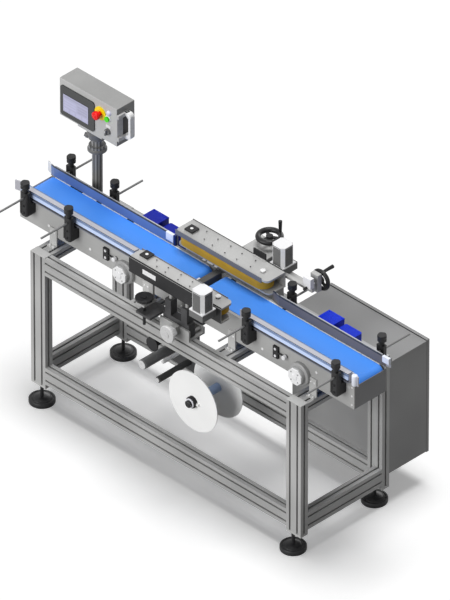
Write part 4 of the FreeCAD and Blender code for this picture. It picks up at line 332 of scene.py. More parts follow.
def foam_belt(name, colour):
    """Gripper belt: soft cellular cover, darker where products have rubbed."""
    finish = Finish(name, colour, 0.72)
    cells = finish.add("TexVoronoi", {}, {"Vector": finish.place(), "Scale": 520.0})
    worn = finish.noise(24.0, (0.5, 0.5, 1.6), 4.0)
    finish.feed("Base Color", finish.mix(worn, shade(colour, 0.72), shade(colour, 1.18)))
    finish.feed("Roughness", worn * 0.15 + 0.64)
    return finish.bump(cells, 0.0004, 0.35)


def band(value, low, high):
    """1 where a wire's value lies between two numbers."""
    return (value > low) * (value < high)


def post_tube(name, colour):
    """Extruded post with painted shade and light: dark edges and paler flutes along its height, as stripes.
    """
    finish = Finish(name, colour, 0.36, 0.06, specular=0.16)
    streaks = finish.noise(300.0, (1.0, 1.0, 0.02), 2.0)
    # Stripes across the post: painted light and shade of its faces and flutes.
    painted_flute_shade = (finish.place("X") * 300.0 + finish.place("Y") * 300.0).sine() * 0.5 + 0.5
    tone = (painted_flute_shade * 0.8 + (streaks - 0.5) * 0.3).clamped()
    finish.feed("Base Color", finish.mix(tone, shade(colour, 0.45), shade(colour, 1.8)))
    finish.feed("Roughness", streaks * 0.12 + 0.30)
    return finish.bump(streaks, 0.0002, 0.20)


def front_guide_metal(name, node):
    """Guide seen from its clamps: drawn body; on its outer face, bands of painted reflection of the belt and
    of painted shade; steel-blue strip, steel rods.
    """
    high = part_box(node)[1]
    finish = Finish(name, (0.45, 0.45, 0.50), 0.34, 0.10)
    streaks = finish.noise(420.0, (0.02, 1.0, 1.0), 2.0)
    off_lane = (finish.place("Y") - LANE_Y).size()
    drop = high.z - finish.place("Z")
    body = finish.mix(streaks, (0.40, 0.40, 0.44), (0.52, 0.52, 0.57))
    # Outer face bands: the pale blue and blue-grey are a painted reflection of the belt, the dark bands
    # painted shade.
    face = finish.mix(band(drop, 0.0, 0.003), body, (0.03, 0.03, 0.035))
    face = finish.mix(band(drop, 0.003, 0.017), face, (0.28, 0.37, 0.58))
    face = finish.mix(band(drop, 0.017, 0.034), face, (0.60, 0.72, 1.0))
    face = finish.mix(band(drop, 0.034, 0.042), face, (0.03, 0.03, 0.04))
    face = finish.mix(drop > 0.042, face, (0.20, 0.21, 0.25))
    dressed = finish.mix(off_lane > GUIDE_BODY_OUTER - 0.006, body, face)
    strip = finish.mix(off_lane < GUIDE_LANE + 0.0015, (0.24, 0.31, 0.44), (0.02, 0.02, 0.025))
    dressed = finish.mix(off_lane < GUIDE_STRIP_OUTER, dressed, strip)
    dressed = finish.mix(off_lane > GUIDE_BODY_OUTER + 0.0006, dressed, ROD_STEEL)
    finish.feed("Base Color", dressed)
    finish.feed("Roughness", streaks * 0.12 + 0.30)
    return finish.bump(streaks, 0.0002, 0.20)


def back_guide_metal(name, node, face_colour, pale_end):
    """Guide seen from the lane: smooth strip with a dark upper edge, steel rods, and a bent end
    that is pale where pale_end is 1."""
    low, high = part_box(node)
    finish = Finish(name, face_colour, 0.32, 0.10)
    streaks = finish.noise(300.0, (0.02, 1.0, 1.0), 3.0)
    cloud = finish.noise(9.0, (0.4, 1.0, 1.0), 2.0)
    off_lane = (finish.place("Y") - LANE_Y).size()
    drop = high.z - finish.place("Z")
    # On the left guide this face colour is a painted reflection of the belt.
    strip = finish.mix(cloud, shade(face_colour, 0.78), shade(face_colour, 1.28))
    strip = finish.mix(drop < 0.0035, strip, (0.025, 0.03, 0.045))
    bent_end = finish.place("X") < low.x + 0.027
    strip = finish.mix(bent_end * pale_end, strip, (0.72, 0.74, 0.78))
    body = finish.mix(streaks, (0.36, 0.37, 0.40), (0.50, 0.51, 0.55))
    on_strip = (bent_end + (off_lane < GUIDE_STRIP_OUTER)).clamped()
    dressed = finish.mix(on_strip, body, strip)
    dressed = finish.mix(off_lane > GUIDE_LANE + 0.0136, dressed, ROD_STEEL)
    finish.feed("Base Color", dressed)
    finish.feed("Roughness", streaks * 0.12 + 0.28)
    return finish.bump(streaks, 0.0002, 0.20)


def glass_face(name, colour, glow=0.0):
    """Flat glossy cover with faint smears."""
    finish = Finish(name, colour, 0.16, coat=0.4)
    smears = finish.noise(26.0, (1.0, 1.0, 0.4), 5.0)
    finish.feed("Roughness", smears * 0.14 + 0.12)
    finish.feed("Base Color", finish.mix(smears, shade(colour, 0.92), shade(colour, 1.08)))
    if glow:
        finish.feed("Emission Color", colour)
        finish.feed("Emission Strength", glow)
    return finish.material


def gloss_plastic(name, colour):
    """Smooth moulded cap or button with a soft uneven shine."""
    finish = Finish(name, colour, 0.28, coat=0.08, specular=0.25)
    sink = finish.noise(60.0, detail=2.0)
    finish.feed("Base Color", finish.mix(sink, shade(colour, 0.90), shade(colour, 1.08)))
    finish.feed("Roughness", sink * 0.14 + 0.22)
    return finish.bump(sink, 0.0004, 0.15)


# Mesh pieces

def ring_frame(axis):
    """Two directions square to an axis."""
    axis = Vector(axis).normalized()
    helper = Vector((0, 0, 1)) if abs(axis.z) < 0.9 else Vector((1, 0, 0))
    side = axis.cross(helper).normalized()
    return axis, side, axis.cross(side)


def add_block(bm, low, high):
    """Box between two opposite corners."""
    corners = [bm.verts.new((x, y, z)) for x in (low[0], high[0]) for y in (low[1], high[1])
               for z in (low[2], high[2])]
    for face in ((0, 1, 3, 2), (4, 6, 7, 5), (0, 4, 5, 1), (2, 3, 7, 6), (0, 2, 6, 4), (1, 5, 7, 3)):
        bm.faces.new([corners[index] for index in face])


def ring_of(bm, centre, side, other, segments, reach_at):
    """Closed ring of corners round a centre, as far out as reach_at says for each angle."""
    ring = []
    for index in range(segments):
        angle = 2.0 * math.pi * index / segments
        reach = reach_at(angle)
        ring.append(bm.verts.new(centre + side * (reach * math.cos(angle))
                                 + other * (reach * math.sin(angle))))
    return ring


def skin_rings(bm, rings):
    """Skin over a row of rings, closed at both ends."""
    for lower, upper in zip(rings, rings[1:]):
        for index in range(len(lower)):
            after = (index + 1) % len(lower)
            bm.faces.new((lower[index], lower[after], upper[after], upper[index]))
    bm.faces.new(list(reversed(rings[0])))
    bm.faces.new(rings[-1])


def add_turned(bm, base, axis, profile, segments=48, lobes=0, lobe_depth=0.0):
    """Turned solid from (radius, height) steps along an axis, with an optional wavy outline."""
    axis, side, other = ring_frame(axis)
    rings = [ring_of(bm, Vector(base) + axis * height, side, other, segments,
                     lambda angle: radius * (1.0 + lobe_depth * math.cos(lobes * angle)))
             for radius, height in profile]
    skin_rings(bm, rings)


def add_ring(bm, centre, radius, thickness, segments=64, sides=20):
    """Round ring in a level plane; thickness is the radius of its section."""
    centre = Vector(centre)
    sections = []
    for index in range(segments):
        angle = 2.0 * math.pi * index / segments
        out = Vector((math.cos(angle), math.sin(angle), 0.0))
        section = []
        for step in range(sides):
            turn = 2.0 * math.pi * step / sides
            reach = radius + thickness * math.cos(turn)
            section.append(bm.verts.new(centre + out * reach + Vector((0, 0, thickness * math.sin(turn)))))
        sections.append(section)
    for index in range(segments):
        first, second = sections[index], sections[(index + 1) % segments]
        for step in range(sides):
            after = (step + 1) % sides
            bm.faces.new((first[step], second[step], second[after], first[after]))


def add_prism(bm, outline, origin, side, other, depth):
    """Extruded outline: (a, b) points along two directions, pushed along depth."""
    origin, side, other, depth = Vector(origin), Vector(side), Vector(other), Vector(depth)
    near = [bm.verts.new(origin + side * a + other * b) for a, b in outline]
    far = [bm.verts.new(vert.co + depth) for vert in near]
    skin_rings(bm, [near, far])


def rounded_outline(width, height, radius, steps=5):
    """Rectangle outline centred on the origin with round corners."""
    points = []
    for corner, (a, b) in enumerate(((1, 1), (-1, 1), (-1, -1), (1, -1))):
        for step in range(steps + 1):
            angle = math.pi / 2.0 * (corner + step / steps)
            points.append((a * (width / 2.0 - radius) + radius * math.cos(angle),
                           b * (height / 2.0 - radius) + radius * math.sin(angle)))
    return points


def hexagon_reach(radius, angle):
    """Distance from the middle of a hexagon to its edge, for a hexagon in a circle."""
    sector = (angle + math.pi / 6.0) % (math.pi / 3.0) - math.pi / 6.0
    return radius * math.cos(math.pi / 6.0) / math.cos(sector)


def add_screw(bm, centre, axis, radius, height):
    """Domed screw head with a hexagon socket sunk in it."""
    axis, side, other = ring_frame(axis)
    rings = []
    for share, rise in SCREW_HEAD:
        round_part = share > SCREW_SOCKET
        rings.append(ring_of(bm, Vector(centre) + axis * (height * rise), side, other, 24,
                             lambda angle: radius * share if round_part
                             else hexagon_reach(radius * share, angle)))
    skin_rings(bm, rings)


def add_piece(name, bm, material, body, bevel=0.0):
    """Object from a bmesh, riding on a body, with rounded edges where asked."""
    bmesh.ops.recalc_face_normals(bm, faces=bm.faces)
    mesh = bpy.data.meshes.new(name)
    bm.to_mesh(mesh)
    bm.free()
    mesh.materials.append(material)
    mesh.shade_smooth()
    mesh.set_sharp_from_angle(angle=math.radians(35.0))
    piece = bpy.data.objects.new(name, mesh)
    bpy.context.scene.collection.objects.link(piece)
    if bevel:
        rounding = piece.modifiers.new("edges", "BEVEL")
        rounding.width = bevel
        rounding.segments = 2
        rounding.limit_method = "ANGLE"
        rounding.harden_normals = True
    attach(piece, body)
    return piece


def loose_boxes(node):
    """Lowest and highest corner of each separate solid of a CAD node."""
    bm = bmesh.new()
    bm.from_mesh(NODES[node].data)
    bmesh.ops.remove_doubles(bm, verts=bm.verts, dist=1e-6)
    bm.verts.ensure_lookup_table()
    seen = set()
    boxes = []
    for vert in bm.verts:
        if vert.index in seen:
            continue
        seen.add(vert.index)
        queue = [vert]
        low, high = vert.co.copy(), vert.co.copy()
        while queue:
            current = queue.pop()
            low = Vector(map(min, low, current.co))
            high = Vector(map(max, high, current.co))
            for edge in current.link_edges:
                neighbour = edge.other_vert(current)
                if neighbour.index not in seen:
                    seen.add(neighbour.index)
                    queue.append(neighbour)
        boxes.append((low, high))
    bm.free()
    return sorted(boxes, key=lambda corners: tuple(corners[0]))


def dress(node, material):
    """Give every face of a CAD node one finish."""
    NODES[node].data.materials.clear()
    NODES[node].data.materials.append(material)


# Settings

class LabellerColours(bpy.types.PropertyGroup):
    profile: bpy.props.FloatVectorProperty(
        name="Profile", description="Drawn aluminium of the frame bars", subtype="COLOR",
        default=(0.42, 0.42, 0.415))
    plate: bpy.props.FloatVectorProperty(
        name="Plate", description="Side plates, gripper plates and brackets", subtype="COLOR",
        default=(0.40, 0.40, 0.395))
    sheet: bpy.props.FloatVectorProperty(
        name="Sheet", description="Brushed sheet of the panel box", subtype="COLOR",
        default=(0.48, 0.48, 0.475))
    cabinet: bpy.props.FloatVectorProperty(
        name="Cabinet", description="Brushed sheet of the electrical cabinet", subtype="COLOR",
        default=(0.27, 0.27, 0.27))
    belt: bpy.props.FloatVectorProperty(
        name="Belt", description="Coated conveyor belts", subtype="COLOR", default=(0.070, 0.305, 1.0))
    gripper_belt: bpy.props.FloatVectorProperty(
        name="Gripper belt", description="Cover of the side gripper belts", subtype="COLOR",
        default=(0.54, 0.315, 0.022))
    # Blue of the left motor, darkened by painted shade.
    motor: bpy.props.FloatVectorProperty(
        name="Conveyor motor", description="Enamel of the geared motors", subtype="COLOR",
        default=(0.002, 0.014, 0.42))
    # The right motor's brighter blue is painted light on the same enamel.
    right_motor_painted_light: bpy.props.FloatVectorProperty(
        name="Right conveyor motor", description="Enamel of the right motor, a brighter blue",
        subtype="COLOR", default=(0.006, 0.050, 0.92))
    black: bpy.props.FloatVectorProperty(
        name="Black parts", description="Moulded clamps, knobs, wheels and feet", subtype="COLOR",
        default=(0.016, 0.016, 0.017))
    screen: bpy.props.FloatVectorProperty(
        name="Screen", description="Lit face of the display", subtype="COLOR", default=(0.33, 0.33, 0.46))


class LabellerSizes(bpy.types.PropertyGroup):
    edge: bpy.props.FloatProperty(
        name="Edge", description="Rounding of machined edges", default=0.0008, unit="LENGTH")
    rib: bpy.props.FloatProperty(
        name="Motor rib", description="Thickness of the lamination ribs of the motors", default=0.0035,
        unit="LENGTH")
    fin: bpy.props.FloatProperty(
        name="Cooling fin", description="Thickness of the cooling fins", default=0.0025, unit="LENGTH")
    knob_lobes: bpy.props.IntProperty(
        name="Knob lobes", description="Lobes round each clamping knob", default=5)


class LabellerStage(bpy.types.PropertyGroup):
    lens: bpy.props.FloatProperty(
        name="Lens", description="Focal length in millimetres, long for a nearly parallel view",
        default=1200.0)
    overhead: bpy.props.FloatProperty(
        name="Overhead light", description="Strength of the lamp above the machine", default=2.05)
    overhead_angle: bpy.props.FloatProperty(
        name="Overhead spread", description="Apparent width of the lamp above", subtype="ANGLE",
        default=math.radians(26.0))
    front: bpy.props.FloatProperty(
        name="Front light", description="Strength of the lamp in front of the conveyors", default=2.60)
    rear: bpy.props.FloatProperty(
        name="Rear light", description="Strength of the lamp behind the machine", default=1.25)
    front_angle: bpy.props.FloatProperty(
        name="Side spread", description="Apparent width of the front and rear lamps", subtype="ANGLE",
        default=math.radians(50.0))
    fill: bpy.props.FloatVectorProperty(
        name="Fill light", description="Even light from all round", subtype="COLOR",
        default=(0.18, 0.18, 0.18))
    floor: bpy.props.FloatVectorProperty(
        name="Floor", description="Colour of the floor", subtype="COLOR", default=(0.95, 0.95, 0.95))
    floor_bounce: bpy.props.FloatVectorProperty(
        name="Floor bounce", description="Colour of the floor as a source of bounced light",
        subtype="COLOR", default=(0.16, 0.16, 0.16))
    floor_glow: bpy.props.FloatProperty(
        name="Floor glow", description="Lift of the floor towards white in the picture", default=0.25)
    floor_reach: bpy.props.FloatProperty(
        name="Floor reach", description="Distance from the machine to the floor's edge", default=60.0,
        unit="LENGTH")


def settings():
    scene = bpy.context.scene
    return scene.labeller_colours, scene.labeller_sizes, scene.labeller_stage


# Operators

class LABELLER_OT_frame(bpy.types.Operator):
    """Finish the profile frame, its end plates and the levelling feet"""
    bl_idname = "labeller.frame"
    bl_label = "Frame"

    def execute(self, context):
        colours = context.scene.labeller_colours
        metal = tuple(colours.profile)
        dress("frame_legs", brushed_metal("profile upright", metal, "Z"))
        dress("frame_long_rails", brushed_metal("profile lengthwise", metal, "X"))
        dress("frame_cross_rails", brushed_metal("profile crosswise", metal, "Y"))
        dress("leg_end_plates", brushed_metal("end plate", shade(metal, 1.15), "X", 0.42))
        rubber = moulded_plastic("foot moulding", tuple(colours.black), 0.38)
        dress("levelling_feet", rubber)
        pads = bmesh.new()
        for low, high in loose_boxes("levelling_feet"):
            centre = (low + high) / 2.0
            add_turned(pads, (centre.x, centre.y, 0.0), (0, 0, 1), FOOT_PAD, 64)
        add_piece("foot_pads", pads, rubber, "root")
        return {"FINISHED"}


class LABELLER_OT_conveyors(bpy.types.Operator):
    """Finish the conveyors: plates, belts, rollers, brackets, drives and screws"""
    bl_idname = "labeller.conveyors"
    bl_label = "Conveyors"

    def execute(self, context):
        colours = context.scene.labeller_colours
        sizes = context.scene.labeller_sizes
        plate = brushed_metal("side plate", tuple(colours.plate), "X", 0.34, 0.12)
        dress("conveyor_side_plates", plate)
        dress("conveyor_brackets", brushed_metal("bracket plate", shade(colours.plate, 1.25), "Z", 0.40))
        dress("conveyor_beds", brushed_metal("slider bed", (0.55, 0.55, 0.55), "X", 0.28))
        dress("conveyor_belts", conveyor_belt("belt cover", tuple(colours.belt)))
        drum = brushed_metal("roller drum", (0.58, 0.58, 0.58), "Y", 0.26)
        for side in ("left", "right"):
            for which in ("tail", "drive", "head"):
                dress("%s_%s_roller" % (side, which), drum)
        housing = powder_coat("bearing drum", (0.34, 0.34, 0.34), 0.40)
        dress("drive_housings", housing)
        dress("photo_sensors", moulded_plastic("sensor body", shade(colours.black, 1.2), 0.4))
        self.motors(colours, sizes)
        self.screws()
        self.end_cover()
        self.housing_details(housing)
        self.sensor_details()
        return {"FINISHED"}

    def motors(self, colours, sizes):
        enamel = Finish("motor enamel", tuple(colours.motor), 0.40, specular=0.12)
        skin = enamel.noise(260.0, detail=4.0)
        # The right motor is painted brighter and the left darker: painted light and shade by side.
        painted_light_side = enamel.place("X") > 0.0
        blue = enamel.mix(painted_light_side, tuple(colours.motor), tuple(colours.right_motor_painted_light))
        enamel.feed("Base Color", enamel.mix(skin, shade(colours.motor, 0.6), blue))
        enamel.feed("Roughness", skin * 0.18 + 0.28)
        enamel = enamel.bump(skin, 0.0005, 0.30)
        dress("conveyor_motors", enamel)
        fins = bmesh.new()
        lids = bmesh.new()
        screws = bmesh.new()
        for low, high in loose_boxes("conveyor_motors"):
            axis_y, axis_z = low.y + MOTOR_SHAFT[0], low.z + MOTOR_SHAFT[1]
            for step in range(MOTOR_FINS):
                x = low.x + 0.004 + step * MOTOR_FIN_PITCH
                add_turned(fins, (x, axis_y, axis_z), (1, 0, 0),
                           ((MOTOR_FIN_RADIUS, 0.0), (MOTOR_FIN_RADIUS, sizes.fin)), 40)
            lid_low = Vector((low.x - 0.001, axis_y - 0.031, high.z - 0.006))
            lid_high = Vector((low.x + 0.094, axis_y + 0.066, high.z + 0.0012))
            add_block(lids, lid_low, lid_high)
            for x in (lid_low.x + 0.009, lid_high.x - 0.009):
                for y in (lid_low.y + 0.008, lid_high.y - 0.008):
                    add_screw(screws, (x, y, lid_high.z - 0.0004), (0, 0, 1), 0.0042, 0.0022)
            gear_x = (low.x + MOTOR_GEAR_SIDE + high.x) / 2.0
            for a, b in ((-0.036, -0.040), (0.036, -0.040), (-0.036, 0.046), (0.036, 0.046)):
                add_screw(screws, (gear_x + a, low.y + 0.1255, axis_z + b), (0, 1, 0), 0.006, 0.004)
        add_piece("motor_cooling_fins", fins, enamel, "root")
        add_piece("motor_terminal_lids", lids, enamel, "root", sizes.edge)
        add_piece("motor_screws", screws, enamel, "root")

    def screws(self):
        bright = brushed_metal("bright screw", (0.90, 0.90, 0.90), "X", 0.30, 0.05, 0.3)
        bm = bmesh.new()
        for low, high in loose_boxes("machine_screws"):
            size = high - low
            centre = (low + high) / 2.0
            if size.z < size.x:
                add_screw(bm, (centre.x, centre.y, low.z), (0, 0, 1), size.x / 2.0, size.z)
            elif centre.y < LANE_Y:
                add_screw(bm, (centre.x, high.y, centre.z), (0, -1, 0), size.x / 2.0, size.y)
            else:
                add_screw(bm, (centre.x, low.y, centre.z), (0, 1, 0), size.x / 2.0, size.y)
        piece = add_piece("button_head_screws", bm, bright, "root")
        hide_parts("machine_screws")

    def end_cover(self):
        """Dark sheets over both ends of the conveyors, and the slim parts between them."""
        low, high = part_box("conveyor_side_plates")
        dark = brushed_metal("end cover", (0.21, 0.21, 0.215), "Y", 0.42, 0.06)
        bm = bmesh.new()
        for x in (low.x, high.x):
            add_block(bm, (x - 0.0012, low.y + 0.0045, low.z + 0.001),
                      (x + 0.0012, high.y - 0.0045, high.z - 0.014))
        add_piece("end_cover_faces", bm, dark, "root", 0.0005)
        belts = loose_boxes("conveyor_belts")
        edge = bmesh.new()
        marks = bmesh.new()
        for number, (first, last) in enumerate(belts):
            strip_low = Vector((first.x + 0.030, last.y + 0.0004, last.z - 0.006))
            strip_high = Vector((last.x - 0.026, last.y + 0.0064, last.z + 0.0006))
            add_block(edge, strip_low, strip_high)
            for share, length in EDGE_GAPS[number]:
                x = strip_low.x + share * (strip_high.x - strip_low.x)
                add_block(marks, (x, strip_low.y - 0.0002, strip_low.z),
                          (x + length, strip_high.y + 0.0005, strip_high.z + 0.0004))
        add_piece("belt_edge_strips", edge, gloss_plastic("edge strip", (0.86, 0.88, 0.92)), "root")
        add_piece("belt_edge_breaks", marks, moulded_plastic("edge break", (0.012, 0.012, 0.014)), "root")

    def housing_details(self, housing):
        """White eight-sided bearing caps in front of a grey collar."""
        caps = bmesh.new()
        collars = bmesh.new()
        screws = bmesh.new()
        octagon = [(BEARING_CAP_RADIUS * math.cos(math.pi / 8.0 + step * math.pi / 4.0),
                    BEARING_CAP_RADIUS * math.sin(math.pi / 8.0 + step * math.pi / 4.0))
                   for step in range(8)]
        for low, high in loose_boxes("drive_housings"):
            centre = (low + high) / 2.0
            add_prism(caps, octagon, (centre.x, low.y - 0.003, centre.z), (1, 0, 0), (0, 0, 1), (0, 0.016, 0))
            add_turned(caps, (centre.x, low.y - 0.003, centre.z), (0, -1, 0),
                       BEARING_BOSS, 40)
            add_turned(collars, (centre.x, high.y - 0.0003, centre.z), (0, -1, 0),
                       BEARING_COLLAR, 64)
            for step in range(4):
                angle = math.pi / 4.0 + math.pi / 2.0 * step
                add_screw(screws, (centre.x + BEARING_SCREW_CIRCLE * math.cos(angle), low.y - 0.003,
                                   centre.z + BEARING_SCREW_CIRCLE * math.sin(angle)), (0, -1, 0),
                          0.0036, 0.003)
        add_piece("bearing_caps", caps, gloss_plastic("bearing cap", (0.84, 0.84, 0.85)), "root",
                  0.0008)
        add_piece("bearing_collars", collars, housing, "root")
        add_piece("bearing_cap_screws", screws, brushed_metal("cap screw", (0.4, 0.4, 0.4), "Z", 0.3),
                  "root")

    def sensor_details(self):
        bright = gloss_plastic("sensor face", (0.80, 0.80, 0.82))
        bm = bmesh.new()
        for low, high in loose_boxes("photo_sensors"):
            plate_x = low.x + 0.015
            for z in (low.z + 0.012, high.z - 0.012):
                add_screw(bm, (plate_x, high.y - 0.012, z), (0, -1, 0), 0.0065, 0.003)
            barrel_x = low.x + 0.015 + 0.058
            add_turned(bm, (barrel_x, low.y, low.z + 0.032), (0, -1, 0),
                       SENSOR_BARREL, 32)
        add_piece("sensor_faces", bm, bright, "root")


class LABELLER_OT_guides(bpy.types.Operator):
    """Finish the guide rails, their clamps and the clamping knobs"""
    bl_idname = "labeller.guides"
    bl_label = "Guides"

    def execute(self, context):
        colours = context.scene.labeller_colours
        sizes = context.scene.labeller_sizes
        for side in ("left", "right"):
            node = "front_%s_guide" % side
            dress(node, front_guide_metal("front %s guide" % side, node))
            node = "back_%s_guide" % side
            pale_end = 1.0 if side == "left" else 0.0
            dress(node, back_guide_metal("back %s guide" % side, node, BACK_GUIDE_FACE[side], pale_end))
        black = moulded_plastic("clamp moulding", tuple(colours.black), 0.42)
        dress("guide_clamps", black)
        knobs = bmesh.new()
        screws = bmesh.new()
        slots = bmesh.new()
        for low, high in loose_boxes("guide_clamps"):
            centre = (low + high) / 2.0
            height = high.z - low.z
            if height < CLAMP_NECK:
                continue
            if height < CLAMP_HEAD:
                add_turned(knobs, (centre.x, centre.y, low.z), (0, 0, 1),
                           [(0.0203, 0.0), (0.0208, 0.010), (0.0196, 0.012), (0.0196, 0.016),
                            (0.0210, 0.018), (0.0210, height - 0.001), (0.0200, height + 0.0006)],
                           64, sizes.knob_lobes, 0.035)
                continue
            outward = -1 if centre.y < LANE_Y else 1
            face_y = low.y if outward < 0 else high.y
            for z in (low.z + 0.022, low.z + 0.058):
                add_screw(screws, (centre.x, face_y, z), (0, outward, 0), 0.0065, 0.004)
            # A near-black block down the left edge of each clamp's outer face: painted shade of its shaded
            # side.
            first, last = sorted((face_y + outward * 0.0007, face_y - outward * 0.001))
            add_block(slots, (low.x + 0.0004, first, low.z + 0.014), (low.x + 0.013, last, low.z + 0.084))
        add_piece("knob_lobes", knobs, black, "root")
        add_piece("clamp_screws", screws, moulded_plastic("black screw", shade(colours.black, 1.6), 0.3),
                  "root")
        add_piece("clamp_painted_shade", slots, moulded_plastic("clamp painted shade", (0.006, 0.006, 0.006)), "root",
                  0.0004)
        self.end_pieces()
        return {"FINISHED"}

    def end_pieces(self):
        """White end blocks on the faces of the back guides, rounded ends of the front guides."""
        white = gloss_plastic("guide end block", (0.80, 0.83, 0.92))
        navy = moulded_plastic("guide end stop", (0.006, 0.016, 0.11), 0.4)
        for end, first, last, low_rise, high_rise in END_BLOCKS:
            low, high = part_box("back_%s_guide" % end)
            inner = LANE_Y + GUIDE_LANE
            bm = bmesh.new()
            add_block(bm, (high.x + first, inner - 0.0022, low.z + low_rise),
                      (high.x + last, inner + 0.012, low.z + high_rise))
            add_piece("back_%s_end_block" % end, bm, white, "back_%s_rail" % end, 0.0012)
        low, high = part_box("back_left_guide")
        bm = bmesh.new()
        inner = LANE_Y + GUIDE_LANE
        add_block(bm, (high.x - 0.012, inner - 0.0015, low.z), (high.x, inner + 0.0135, high.z + 0.003))
        add_piece("back_left_end_stop", bm, navy, "back_left_rail", 0.001)
        for end in ("left", "right"):
            low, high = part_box("front_%s_guide" % end)
            bm = bmesh.new()
            add_turned(bm, (high.x - 0.022, LANE_Y - 0.1035, low.z + 0.0002), (0, 0, 1),
                       ROUND_END, 40)
            add_piece("front_%s_round_end" % end, bm, white, "front_%s_rail" % end)


